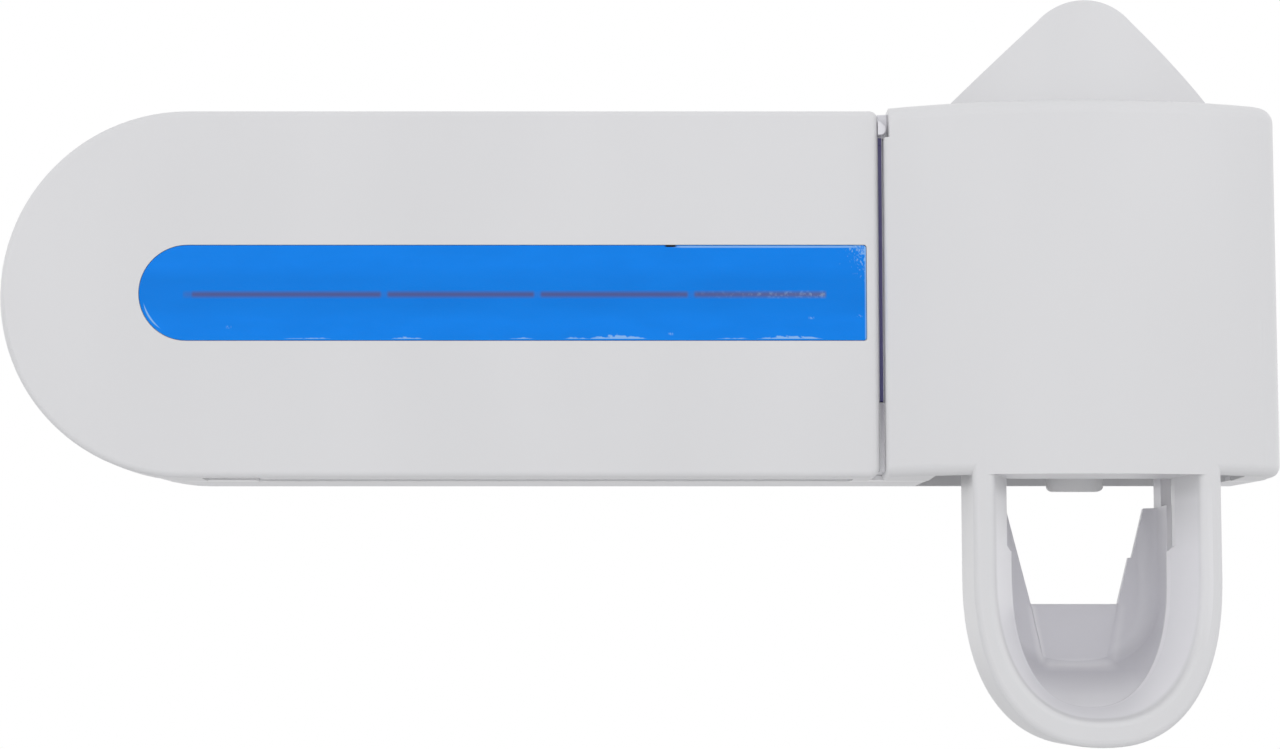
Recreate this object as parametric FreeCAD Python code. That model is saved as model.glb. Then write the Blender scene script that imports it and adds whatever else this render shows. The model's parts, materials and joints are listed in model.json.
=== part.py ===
import FreeCAD, Part
import math
import os

V = FreeCAD.Vector

# Frame: X to the right, Y into the wall (the front faces -Y), Z up, millimetres.
# The origin is the middle of the two wall screws, on the back face.
# A rise is a height over the bottom face of the body; what hangs below it has a negative rise.

# Whole object
lid_length = 180.85
body_height = 76.0
screw_row_drop = 18.9          # wall screws lie this far below mid height
lid_right_x = 79.1             # right edge of the lid from the screw pattern's centre
case_depth = 32.0
lid_depth = 12.0
lid_gap = 1.2                  # slot between the lid and the dispenser cover
cover_width = 80.8
cover_side_depth = 14.0
cover_bulge = 10.0             # how far the cover's front bows out
cover_rise = 0.5               # the cover's top stands this far over the lid's
dispenser_offset = 1.5         # dispenser axis, right of the cover's middle
seam_gap = 0.4
overrun = 2.0                  # how far cuts run past the faces that they cross
fit_gap = 0.05                 # clearance of pieces that sit in a seat
least_corner = 0.5
shortest_edge = 0.01
half_turn = 180

# Case
case_wall = 2.2
back_wall = 2.2
case_inset = 0.15              # the case stands this far inside the lid and cover
case_draft = 0.75              # each side draws in by this much towards the wall
case_corner_top = 3.4
case_corner_bottom = 1.2
partition_setback = 1.1
partition_wall = 2.2
cabin_corner = 1.5
shelf_depth = 27.0
shelf_lip = 1.6
shelf_lip_height = 3.0
brush_gap_left = -50.0
brush_gap_right = 74.0
catch_post_width = 1.8
catch_post_height = 15.0
bay_mouth_left_margin = 9.7    # cover's left edge to the bay's open bottom
bay_mouth_width = 63.0
wall_screw_spacing = 120.0
wall_screw_hole_r = 2.25
wall_screw_pad_r = 6.0
wall_screw_pad_height = 0.8

# Lid hinge
hinge_forward = 6.0            # hinge axis, in front of the seam
hinge_drop = 3.8               # hinge axis, below the top face
hinge_pin_r = 1.0
hinge_bore_clearance = 0.06
hinge_relief = 1.4             # the case's top edge stands back for the lid's swing
ear_wall = 1.8
ear_r = 2.0
ear_gap = 0.25
ear_throat = 1.7
ear_root_depth = 3.0
lug_x = -60.0
lug_wall = 2.6
lug_r = 2.6
lug_side_gap = 0.5
lug_root_depth = 3.0
lug_rib_wall = 1.6
pin_tip_gap = 0.3
pin_cover_gap = 0.15           # right pin's tip to the dispenser cover's side

# Lid
lid_wall = 1.8
lid_front_edge_r = 1.2
lid_corner_top = 1.6
lid_corner_bottom = 2.0
lid_lip_depth = 6.0            # bottom skirt above the brush gap
finger_notch_width = 10.0
finger_notch_from_front = 2.5
window_right_margin = 2.45
window_length = 149.8
window_height = 19.9
window_recess = 0.8
window_thickness = 0.75
window_clearance = 0.12
window_corner = 0.6
slit_length = 132.3
slit_height = 1.45
slit_right_margin = 8.2        # window's right edge to the end of the slit
slit_tie = 1.5
slit_tie_shares = (0.31, 0.55, 0.79)
lid_rib_wall = 1.2
lid_rib_height = 3.0
lid_rib_shares = (0.2, 0.8)

# Lid magnet and the switch that it works
magnet_r = 3.0
magnet_thickness = 2.5
magnet_wall = 1.4
magnet_from_round_centre = 8.5
magnet_above_bottom = 8.6
magnet_boss_length = 8.8
reed_r = 1.2
reed_length = 13.0
reed_lead_r = 0.3
reed_lead_length = 1.6
reed_cradle_wall = 1.5
reed_cradle_depth = 4.6
reed_behind_seam = 4.6

# Lamp housing, the inner panel of the cabin
housing_depth = 16.5
housing_wall = 1.6
housing_clearance = 0.4
housing_below_mid = 11.4
housing_top_clearance = 0.5
lamp_above_mid = 13.1
lamp_r = 4.0
lamp_length = 132.0
lamp_left_x = -63.0
lamp_glass_wall = 0.8
lamp_cap_r = 4.4
lamp_cap_length = 8.0
lamp_pin_r = 0.5
lamp_pin_spacing = 4.0
lamp_pin_length = 2.6
trough_r = 8.5
trough_wall = 1.6
trough_back = 2.0              # lamp axis, behind the housing's front face
trough_end_room = 4.0
reflector_sheet = 0.5
reflector_clearance = 0.1
holder_length = 10.0
holder_r = 7.4
holder_bore_clearance = 0.15
housing_screw_inset = 5.0
housing_screw_left_x = -14.0
housing_screw_right_x = 68.0
housing_boss_r = 3.0

# Circuit board and power inlet, behind the lamp housing
board_left_x = -93.6
board_right_x = -24.0
board_height = 11.0
board_below_mid = 8.7
board_thickness = 1.6
board_standoff = 3.4
board_boss_r = 2.2
board_screw_inset = 15.0
board_right_screw_inset = 4.0
transformer_size = (13.0, 6.2, 9.0)
transformer_from_right = 12.0
capacitor_r = 2.9
capacitor_height = 6.0
capacitor_pitch = 7.4
capacitor_count = 3
winding_length = 5.2
winding_bulge = 1.0
chip_size = (7.0, 1.8, 5.0)
jack_length = 13.0
jack_thickness = 7.0
jack_height = 9.0
jack_nose_r = 3.3
jack_nose_length = 4.6
jack_bore_r = 2.75
jack_bore_depth = 9.0
jack_pin_r = 1.0
jack_overhang = 0.65
jack_pin_setback = 2.3
jack_hole_clearance = 0.2
jack_axis_above_board = 3.7

# Brush rack
rack_rise = 11.1
rack_plate = 2.2
rack_left_x = -52.0
rack_right_x = 74.0
rack_reach = 36.5              # front edge, from the wall
rack_slot_count = 5
rack_slot_pitch = 25.0
rack_slot_width = 8.4
rack_slot_depth = 9.5
rack_slot_flare = 1.6
rack_corner = 3.0
rack_flange_height = 6.8
rack_flange_wall = 2.0
rack_boss_height = 2.0
rack_boss_r = 3.0
rack_screw_pitch = 50.0
rack_rib_wall = 1.4
rack_rib_height = 4.0
rack_rib_length = 16.0

# Screws
screw_r = 1.1
screw_head_r = 2.1
screw_head_height = 1.3
screw_length = 6.0
screw_pilot_clearance = 0.02
screw_hole_clearance = 0.25
screw_drive_r = 0.9
screw_drive_width = 0.6
screw_drive_depth = 0.7
board_screw_length = 4.4

# Dispenser cover
cover_wall = 2.0
cover_corner_top = 3.2
cover_corner_bottom = 2.3
cover_right_edge_r = 7.0
cover_rim_r = 1.2
cover_notch_clearance = 0.2
latch_width = 10.0
latch_wall = 1.6
latch_reach = 6.0
latch_clearance = 0.3
latch_shares = (0.25, 0.75)

# Guard loop, in one piece with the cover
loop_half_width = 25.1
loop_reach = 54.7              # below the cover
loop_squareness = 2.35         # how square the loop's lower curve is
loop_spring_drop = 19.4        # straight sides reach this far below the cover
loop_back_y = -30.0
loop_curve_steps = 16
loop_rim = 4.1
loop_rim_bottom = 5.6
loop_floor_wall = 2.6
lip_half_width = 16.2
lip_y = -40.0
lip_wall = 1.0
lip_bottom_above_loop = 7.8
lip_top_drop = 13.9
lip_upper_half_width = 17.2    # the lip is narrower above its shoulders
loop_edge_r = 1.4
rim_plane_y = -53.5
guard_rise = 11.0              # the loop's sides go up inside the cover as ribs

# Tube collar with its shield
collar_front_y = -44.0
collar_r = 39.0
collar_half_width = 29.0
collar_back_y = -6.0
collar_back_corner = 8.0
collar_wall = 2.0
collar_skirt = 11.0
collar_clearance = 0.4
collar_flange = 2.4
collar_flange_height = 1.6
shield_depth = 20.0            # the shield is cut from the collar this far back
shield_height = 23.2
shield_tip_r = 13.1
shield_flank_angle = 48.0
collar_hook_width = 8.0
collar_hook = 0.9
collar_hook_height = 2.0
collar_hook_y = -18.0
collar_hook_gap = 0.1

# Pump body
pump_plate_half_width = 24.0
pump_plate_bottom_rise = 17.1
pump_plate_top_rise = 46.1
pump_plate_wall = 2.2
pump_plate_corner = 3.0
pump_screw_inset = 3.0
pump_boss_height = 3.0
pump_boss_r = 3.2
chamber_rise = 27.1
chamber_r = 9.5
chamber_wall = 2.5
chamber_front_y = -26.0
chamber_floor = 2.3
clamp_flange_r = 14.2
clamp_flange_wall = 2.0
outlet_y = -20.0
outlet_bore_r = 2.4
outlet_duct_r = 5.0
outlet_shoulder_rise = 11.1
spout_r = 4.0
spout_bottom_rise = 5.1
inlet_y = -23.0
inlet_boss_r = 8.0
inlet_boss_bottom_rise = 42.7
inlet_boss_top_rise = 54.1
inlet_seat_r = 6.3
inlet_seat_floor_rise = 45.1
inlet_channel_r = 2.4
inlet_channel_y = -20.5
inlet_column_r = 5.4
dish_top_rise = 60.1
dish_top_r = 17.0
dish_wall = 1.6
dish_bottom_rise = 52.1
pivot_y = -20.0
pivot_rise = 50.1
pivot_boss_r = 3.4
pivot_boss_half_length = 17.2
pivot_pin_r = 1.5
pivot_pin_length = 9.0
pivot_clearance = 0.06

# Soft parts of the pump
seal_bore_r = 4.8
seal_lip_height = 1.0
seal_lip_r = 4.2
valve_r = 4.4
valve_thickness = 0.8
valve_stem_r = 1.0
valve_stem_length = 0.9
diaphragm_flange_r = 13.4
diaphragm_wall = 1.2
diaphragm_dome_r = 7.6
diaphragm_crown_r = 5.4
diaphragm_rise = 4.2
ring_inner_r = 9.6
ring_height = 1.4
nozzle_r = 6.05
nozzle_top_rise = 10.7
nozzle_round_rise = 5.6
nozzle_tip_rise = -1.5
nozzle_tip_thickness = 2.6
nozzle_tip_corner = 1.4
nozzle_slit_width = 8.0
nozzle_slit = 0.3
nozzle_curve_steps = 24
nozzle_tip_power = 0.35        # the tip is nearer a rectangle than an ellipse

# Plunger and return spring
plunger_apex_gap = 0.3
plunger_rim_r = 11.7
plunger_rim_wall = 1.0
plunger_rim_back = 1.6         # rim, behind the rounded nose
plunger_stem_r = 4.6
plunger_nose_r = 6.0
spring_mean_r = 10.7
spring_wire_r = 0.45
spring_turns = 3
spring_seat_gap = 0.15
coil_gap_points = 40           # points per turn for measuring the gap

# Push lever
lever_wall = 1.8
arm_inner = 17.6
arm_wall = 2.2
arm_head_r = 4.5
arm_back_y = -15.0
arm_front_y = -24.0
bridge_back_y = -44.0
bridge_wall = 2.2
bridge_half_height = 6.0
arm_foot_rise = 7.1
arm_throat_rise = 39.1
scoop_front_y = -38.4
scoop_back_y = -17.0
scoop_front_half_width = 17.9
scoop_back_half_width = 17.4
scoop_front_floor_rise = -47.1
scoop_back_floor_rise = -37.9
scoop_spring_rise = -22.9
cheek_top_rise = -4.9
cheek_step_y = -30.0
cheek_step_rise = -14.9
cheek_nose_rise = -20.9
notch_top_half_width = 14.3
notch_bottom_half_width = 9.2
notch_bottom_rise = -25.2
notch_jog = 0.7
notch_jog_rise = -15.4
pad_bottom_half_width = 6.6
pad_bottom_rise = -37.3
pad_rise = 0.5
floor_blend_r = 4.0

# Places worked out from the sizes above
mid_z = screw_row_drop
top_z = mid_z + body_height / 2
bottom_z = mid_z - body_height / 2
seam_y = -case_depth
lid_left_x = lid_right_x - lid_length
lid_front_y = seam_y - lid_depth
lid_back_y = seam_y - seam_gap
round_r = body_height / 2
round_centre_x = lid_left_x + round_r
cover_left_x = lid_right_x + lid_gap
cover_right_x = cover_left_x + cover_width
cover_back_y = seam_y - seam_gap
shoulder_y = seam_y - cover_side_depth
apex_y = shoulder_y - cover_bulge
cover_mid_x = (cover_left_x + cover_right_x) / 2
cover_top_z = top_z + cover_rise
axis_x = cover_mid_x + dispenser_offset
partition_left_x = cover_left_x + partition_setback
partition_right_x = partition_left_x + partition_wall
hinge_y = seam_y - hinge_forward
hinge_z = top_z - hinge_drop
ear_left_x = lid_right_x + ear_gap
ear_right_x = ear_left_x + ear_wall
window_right_x = lid_right_x - window_right_margin
window_left_x = window_right_x - window_length
housing_bottom_z = mid_z - housing_below_mid
board_bottom_z = mid_z - board_below_mid
pump_plate_bottom_z = bottom_z + pump_plate_bottom_rise
pump_plate_top_z = bottom_z + pump_plate_top_rise
chamber_z = bottom_z + chamber_rise
outlet_shoulder_z = bottom_z + outlet_shoulder_rise
spout_bottom_z = bottom_z + spout_bottom_rise
inlet_boss_bottom_z = bottom_z + inlet_boss_bottom_rise
inlet_boss_top_z = bottom_z + inlet_boss_top_rise
inlet_seat_floor_z = bottom_z + inlet_seat_floor_rise
dish_top_z = bottom_z + dish_top_rise
dish_bottom_z = bottom_z + dish_bottom_rise
pivot_z = bottom_z + pivot_rise
nozzle_top_z = bottom_z + nozzle_top_rise
nozzle_round_z = bottom_z + nozzle_round_rise
nozzle_tip_z = bottom_z + nozzle_tip_rise
arm_foot_z = bottom_z + arm_foot_rise
arm_throat_z = bottom_z + arm_throat_rise
scoop_front_floor_z = bottom_z + scoop_front_floor_rise
scoop_back_floor_z = bottom_z + scoop_back_floor_rise
scoop_spring_z = bottom_z + scoop_spring_rise
cheek_top_z = bottom_z + cheek_top_rise
cheek_step_z = bottom_z + cheek_step_rise
cheek_nose_z = bottom_z + cheek_nose_rise
notch_bottom_z = bottom_z + notch_bottom_rise
notch_jog_z = bottom_z + notch_jog_rise
pad_bottom_z = bottom_z + pad_bottom_rise
rack_z = bottom_z + rack_rise
housing_front_y = -housing_depth
lamp_z = mid_z + lamp_above_mid
lamp_y = housing_front_y + trough_back
lamp_right_x = lamp_left_x + lamp_length
bay_mouth_left_x = cover_left_x + bay_mouth_left_margin
bay_mouth_right_x = bay_mouth_left_x + bay_mouth_width
loop_bottom_z = bottom_z - loop_reach
loop_spring_z = bottom_z - loop_spring_drop
pump_plate_back_y = -back_wall - pump_boss_height
pump_plate_front_y = pump_plate_back_y - pump_plate_wall
clamp_front_y = chamber_front_y - clamp_flange_wall
ring_back_y = clamp_front_y - diaphragm_wall
ring_front_y = ring_back_y - ring_height
plunger_apex_y = bridge_back_y + plunger_apex_gap


def block(x, y, z):
    """Box between the low and high values of each axis."""
    return Part.makeBox(x[1] - x[0], y[1] - y[0], z[1] - z[0], V(x[0], y[0], z[0]))


def rod(radius, start, end):
    """Round bar between two points."""
    line = end.sub(start)
    return Part.makeCylinder(radius, line.Length, start, line)


def rod_x(radius, x, y, z):
    return rod(radius, V(x[0], y, z), V(x[1], y, z))


def rod_y(radius, x, y, z):
    return rod(radius, V(x, y[0], z), V(x, y[1], z))


def rod_z(radius, x, y, z):
    return rod(radius, V(x, y, z[0]), V(x, y, z[1]))


def line(start, end):
    return Part.LineSegment(V(*start), V(*end)).toShape()


def arc(start, middle, end):
    return Part.Arc(V(*start), V(*middle), V(*end)).toShape()


def joined(shapes):
    """Fuse a list of solids into one and merge their flush faces."""
    result = shapes[0].fuse(shapes[1:]) if len(shapes) > 1 else shapes[0]
    return result.removeSplitter()


def corner_outline(x, z, radii, y):
    """Upright outline at depth y; radii are bottom left, bottom right, top right, top left."""
    bl, br, tr, tl = radii
    half = math.sqrt(2) / 2
    spots = [
        (V(x[0] + bl, y, z[0] + bl), bl, V(-1, 0, 0), V(0, 0, -1)),
        (V(x[1] - br, y, z[0] + br), br, V(0, 0, -1), V(1, 0, 0)),
        (V(x[1] - tr, y, z[1] - tr), tr, V(1, 0, 0), V(0, 0, 1)),
        (V(x[0] + tl, y, z[1] - tl), tl, V(0, 0, 1), V(-1, 0, 0)),
    ]
    arcs = []
    for centre, radius, first, last in spots:
        middle = (first + last) * half
        points = [centre + first * radius, centre + middle * radius, centre + last * radius]
        arcs.append(points)
    edges = []
    for number, points in enumerate(arcs):
        edges.append(Part.Arc(*points).toShape())
        following = arcs[(number + 1) % len(arcs)][0]
        if points[2].distanceToPoint(following) > shortest_edge:
            edges.append(Part.LineSegment(points[2], following).toShape())
    return Part.Wire(edges)


def upright_prism(wire, depth):
    """Solid from an upright outline, drawn along +Y."""
    return Part.Face(wire).extrude(V(0, depth, 0))


def outline_prism(points, direction):
    """Solid from a closed outline of straight runs."""
    wire = Part.makePolygon(points + [points[0]])
    return Part.Face(wire).extrude(direction)


def side_prism(points, x):
    """Solid from a closed outline in Y and Z, drawn between two values of X."""
    return outline_prism([V(x[0], y, z) for y, z in points], V(x[1] - x[0], 0, 0))


def screw(x, y, z, length):
    """Pan-head screw driven towards the wall; y is the face under its head."""
    shank = rod_y(screw_r, x, (y, y + length), z)
    head = rod_y(screw_head_r, x, (y - screw_head_height, y), z)
    drive_y = (y - screw_head_height - overrun, y - screw_head_height + screw_drive_depth)
    half = screw_drive_width / 2
    slot_a = block((x - screw_drive_r, x + screw_drive_r), drive_y, (z - half, z + half))
    slot_b = block((x - half, x + half), drive_y, (z - screw_drive_r, z + screw_drive_r))
    return joined([head, shank]).cut(slot_a).cut(slot_b)


def nearest_edge(solid, place):
    """The edge of a solid that passes closest to a point."""
    spot = Part.Vertex(place)
    return min(solid.Edges, key=lambda edge: edge.distToShape(spot)[0])


def rounded(solid, radius, places):
    """Round the edges that pass closest to the given points."""
    return solid.makeFillet(radius, [nearest_edge(solid, place) for place in places])


def inset_at(y):
    """How far the case stands inside the lid's outline at depth y."""
    return case_inset + case_draft * (case_depth + y) / case_depth


def case_outline(y, wall=0.0):
    """The case's own outline at depth y, drawn in by a wall."""
    inset = inset_at(y) + wall
    round_left = round_r - inset
    top_corner = max(case_corner_top - wall, least_corner)
    bottom_corner = max(case_corner_bottom - wall, least_corner)
    x = (lid_left_x + inset, cover_right_x - inset)
    z = (bottom_z + inset, top_z - inset)
    return corner_outline(x, z, (round_left, bottom_corner, top_corner, round_left), y)


def cabin_solid(front_y, back_y, gap, right_x):
    """The inside of the cabin between two depths, kept off its walls by a gap."""
    wires = []
    for y in (front_y, back_y):
        inset = inset_at(y) + case_wall + gap
        round_left = round_r - inset
        x = (lid_left_x + inset, right_x)
        z = (bottom_z + inset, top_z - inset)
        radii = (round_left, cabin_corner, cabin_corner, round_left)
        wires.append(corner_outline(x, z, radii, y))
    return Part.makeLoft(wires, True, True)


def bay_solid(front_y, back_y):
    """The inside of the dispenser bay between two depths."""
    wires = []
    for y in (front_y, back_y):
        inset = inset_at(y) + case_wall
        x = (partition_right_x, cover_right_x - inset)
        z = (bottom_z + inset, top_z - inset)
        top_corner = case_corner_top - case_wall
        radii = (cabin_corner, cabin_corner, top_corner, cabin_corner)
        wires.append(corner_outline(x, z, radii, y))
    return Part.makeLoft(wires, True, True)


def housing_screw_places():
    """Where the lamp housing is screwed to the case."""
    low = housing_bottom_z + housing_screw_inset
    high = lamp_z + trough_r + trough_wall + housing_boss_r + screw_hole_clearance
    return [(x, z) for x in (housing_screw_left_x, housing_screw_right_x) for z in (low, high)]


def housing_top_z():
    return top_z - inset_at(0) - case_wall - housing_top_clearance


def board_screw_places():
    z = board_bottom_z + board_height / 2
    return [(board_left_x + board_screw_inset, z), (board_right_x - board_right_screw_inset, z)]


def rack_screw_places():
    middle = (rack_left_x + rack_right_x) / 2
    z = rack_z - rack_flange_height / 2
    return [(middle + step * rack_screw_pitch, z) for step in (-1, 0, 1)]


def pump_screw_places():
    reach = pump_plate_half_width - pump_screw_inset
    low = pump_plate_bottom_z + pump_screw_inset
    high = pump_plate_top_z - pump_screw_inset
    return [(axis_x + side * reach, z) for side in (-1, 1) for z in (low, high)]


def collar_outline(grow, z):
    """Plan outline of the tube collar at height z, grown or shrunk evenly."""
    centre_y = collar_front_y + collar_r
    radius = collar_r + grow
    half = collar_half_width + grow
    back = collar_back_y + grow
    corner = collar_back_corner + grow
    shoulder = centre_y - math.sqrt(radius ** 2 - half ** 2)
    root = math.sqrt(2) / 2
    left = axis_x - half
    right = axis_x + half
    low = back - corner
    bend = corner * (1 - root)
    edges = [
        arc((left, shoulder, z), (axis_x, centre_y - radius, z), (right, shoulder, z)),
        line((right, shoulder, z), (right, low, z)),
        arc((right, low, z), (right - bend, back - bend, z), (right - corner, back, z)),
        line((right - corner, back, z), (left + corner, back, z)),
        arc((left + corner, back, z), (left + bend, back - bend, z), (left, low, z)),
        line((left, low, z), (left, shoulder, z)),
    ]
    return Part.Wire(edges)


def collar_prism(grow, z):
    return Part.Face(collar_outline(grow, z[0])).extrude(V(0, 0, z[1] - z[0]))


def loop_outline(half_width, floor_z, spring_z, ceiling_z, y):
    """Upright U outline: straight sides and a lower curve that is squarer than an ellipse."""
    depth = spring_z - floor_z
    power = 2 / loop_squareness
    steps = loop_curve_steps
    points = []
    for step in range(steps + 1):
        turn = math.pi * step / steps
        across = math.copysign(abs(math.cos(turn)) ** power, -math.cos(turn))
        down = abs(math.sin(turn)) ** power
        points.append(V(axis_x + half_width * across, y, spring_z - depth * down))
    points[0] = V(axis_x - half_width, y, spring_z)
    points[-1] = V(axis_x + half_width, y, spring_z)
    curve = Part.BSplineCurve()
    curve.interpolate(Points=points, InitialTangent=V(0, 0, -1), FinalTangent=V(0, 0, 1), Scale=False)
    top_left = V(axis_x - half_width, y, ceiling_z)
    top_right = V(axis_x + half_width, y, ceiling_z)
    edges = [
        Part.LineSegment(top_left, points[0]).toShape(),
        curve.toShape(),
        Part.LineSegment(points[-1], top_right).toShape(),
        Part.LineSegment(top_right, top_left).toShape(),
    ]
    return Part.Wire(edges)


def back_case():
    """Tray behind lid and dispenser cover, with the hinge ear and lug, shelf and screw bosses."""
    tray = Part.makeLoft([case_outline(seam_y), case_outline(0)], True, True)
    tray = tray.cut(cabin_solid(seam_y - overrun, -back_wall, 0, partition_left_x))
    tray = tray.cut(bay_solid(seam_y - overrun, -back_wall))
    relief_x = (lid_left_x - overrun, lid_right_x + ear_gap / 2)
    relief_y = (seam_y - overrun, seam_y + hinge_relief)
    tray = tray.cut(block(relief_x, relief_y, (hinge_z - hinge_drop * 2, top_z + overrun)))
    gap_x = (brush_gap_left, brush_gap_right)
    floor_z = bottom_z + case_inset + case_draft + case_wall
    cut_z = (bottom_z - overrun, floor_z + overrun)
    tray = tray.cut(block(gap_x, (seam_y - overrun, -shelf_depth), cut_z))
    mouth_x = (bay_mouth_left_x, bay_mouth_right_x)
    tray = tray.cut(block(mouth_x, (seam_y - overrun, -back_wall), cut_z))
    tray = tray.cut(collar_prism(collar_clearance, (top_z - collar_skirt, top_z + overrun)))
    shelf_z = bottom_z + inset_at(-shelf_depth)
    lip_z = (shelf_z, shelf_z + case_wall + shelf_lip_height)
    parts = [tray, block(gap_x, (-shelf_depth, -shelf_depth + shelf_lip), lip_z)]
    post_x = (partition_left_x - catch_post_width, partition_left_x + partition_wall / 2)
    post_z = (bottom_z + inset_at(0) + case_wall / 2, bottom_z + catch_post_height)
    parts.append(block(post_x, (seam_y, -back_wall / 2), post_z))
    for side in (-1, 1):
        place = side * wall_screw_spacing / 2
        pad_y = (-back_wall - wall_screw_pad_height, -back_wall / 2)
        parts.append(rod_y(wall_screw_pad_r, place, pad_y, 0))
    for x, z in housing_screw_places():
        parts.append(rod_y(housing_boss_r, x, (housing_front_y + housing_wall, -back_wall / 2), z))
    for x, z in board_screw_places():
        parts.append(rod_y(board_boss_r, x, (-back_wall - board_standoff, -back_wall / 2), z))
    for x, z in rack_screw_places():
        parts.append(rod_y(rack_boss_r, x, (-back_wall - rack_boss_height, -back_wall / 2), z))
    for x, z in pump_screw_places():
        parts.append(rod_y(pump_boss_r, x, (pump_plate_back_y, -back_wall / 2), z))
    parts += [hinge_ear(), hinge_lug()] + reed_cradles()
    case = joined(parts)
    for side in (-1, 1):
        place = side * wall_screw_spacing / 2
        case = case.cut(rod_y(wall_screw_hole_r, place, (-case_depth, overrun), 0))
    pilot_r = screw_r + screw_pilot_clearance
    for x, z in housing_screw_places():
        case = case.cut(rod_y(pilot_r, x, (-case_depth, housing_front_y + screw_length), z))
    for x, z in board_screw_places():
        case = case.cut(rod_y(pilot_r, x, (-case_depth, board_front_y() + board_screw_length), z))
    for x, z in rack_screw_places():
        case = case.cut(rod_y(pilot_r, x, (-case_depth, rack_flange_front_y() + board_screw_length), z))
    for x, z in pump_screw_places():
        case = case.cut(rod_y(pilot_r, x, (-case_depth, pump_plate_front_y + screw_length), z))
    jack_hole_r = jack_nose_r + jack_hole_clearance
    return case.cut(rod_x(jack_hole_r, (lid_left_x - overrun, board_left_x), jack_axis_y(), mid_z))


def hinge_ear():
    """Open-fronted snap ear at the partition for the lid's right pin."""
    x = (ear_left_x, ear_right_x)
    through_x = (x[0] - overrun, x[1] + overrun)
    head = rod_x(ear_r, x, hinge_y, hinge_z)
    arm = block(x, (hinge_y, seam_y), (hinge_z - ear_r, top_z - case_inset))
    root_x = (ear_left_x, partition_right_x)
    root_z = (hinge_z - ear_r, top_z - case_inset - case_draft)
    root = block(root_x, (seam_y, seam_y + ear_root_depth), root_z)
    ear = joined([head, arm, root])
    ear = ear.cut(rod_x(hinge_pin_r + hinge_bore_clearance, through_x, hinge_y, hinge_z))
    throat_z = (hinge_z - ear_throat / 2, hinge_z + ear_throat / 2)
    return ear.cut(block(through_x, (hinge_y - ear_r * 2, hinge_y), throat_z))


def hinge_lug():
    """Lug on the case's top wall for the lid's left pin."""
    x = (lug_x, lug_x + lug_wall)
    head = rod_x(lug_r, x, hinge_y, hinge_z)
    arm_top = hinge_z + lug_r
    arm_y = (hinge_y, seam_y + hinge_relief + lug_root_depth)
    arm = block(x, arm_y, (hinge_z - lug_r / 2, arm_top))
    lug = joined([head, arm])
    through_x = (x[0] - overrun, x[1] + overrun)
    return lug.cut(rod_x(hinge_pin_r + hinge_bore_clearance, through_x, hinge_y, hinge_z))


def reed_place():
    """Middle of the reed switch: X, Y and Z."""
    x = round_centre_x - magnet_from_round_centre
    return x, seam_y + reed_behind_seam, magnet_z()


def magnet_z():
    drop = math.sqrt(round_r ** 2 - magnet_from_round_centre ** 2)
    return mid_z - drop + magnet_above_bottom - magnet_r + reed_r


def reed_cradles():
    """Two forked ribs on the shelf that hold the reed switch."""
    x, y, z = reed_place()
    seat_r = reed_r + fit_gap
    inside = Part.makeLoft([case_outline(seam_y, case_wall / 2), case_outline(0, case_wall / 2)], True, True)
    cradles = []
    for side in (-1, 1):
        place = x + side * (reed_length / 2 - reed_cradle_wall)
        rib_x = (place - reed_cradle_wall / 2, place + reed_cradle_wall / 2)
        rib_y = (y - reed_cradle_depth / 2, y + reed_cradle_depth / 2)
        rib = block(rib_x, rib_y, (bottom_z, z + reed_r)).common(inside)
        through_x = (place - reed_length, place + reed_length)
        rib = rib.cut(rod_x(seat_r, through_x, y, z))
        throat = block(through_x, (y - seat_r, y + seat_r), (z, z + reed_r * 2))
        cradles.append(rib.cut(throat))
    return cradles


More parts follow.
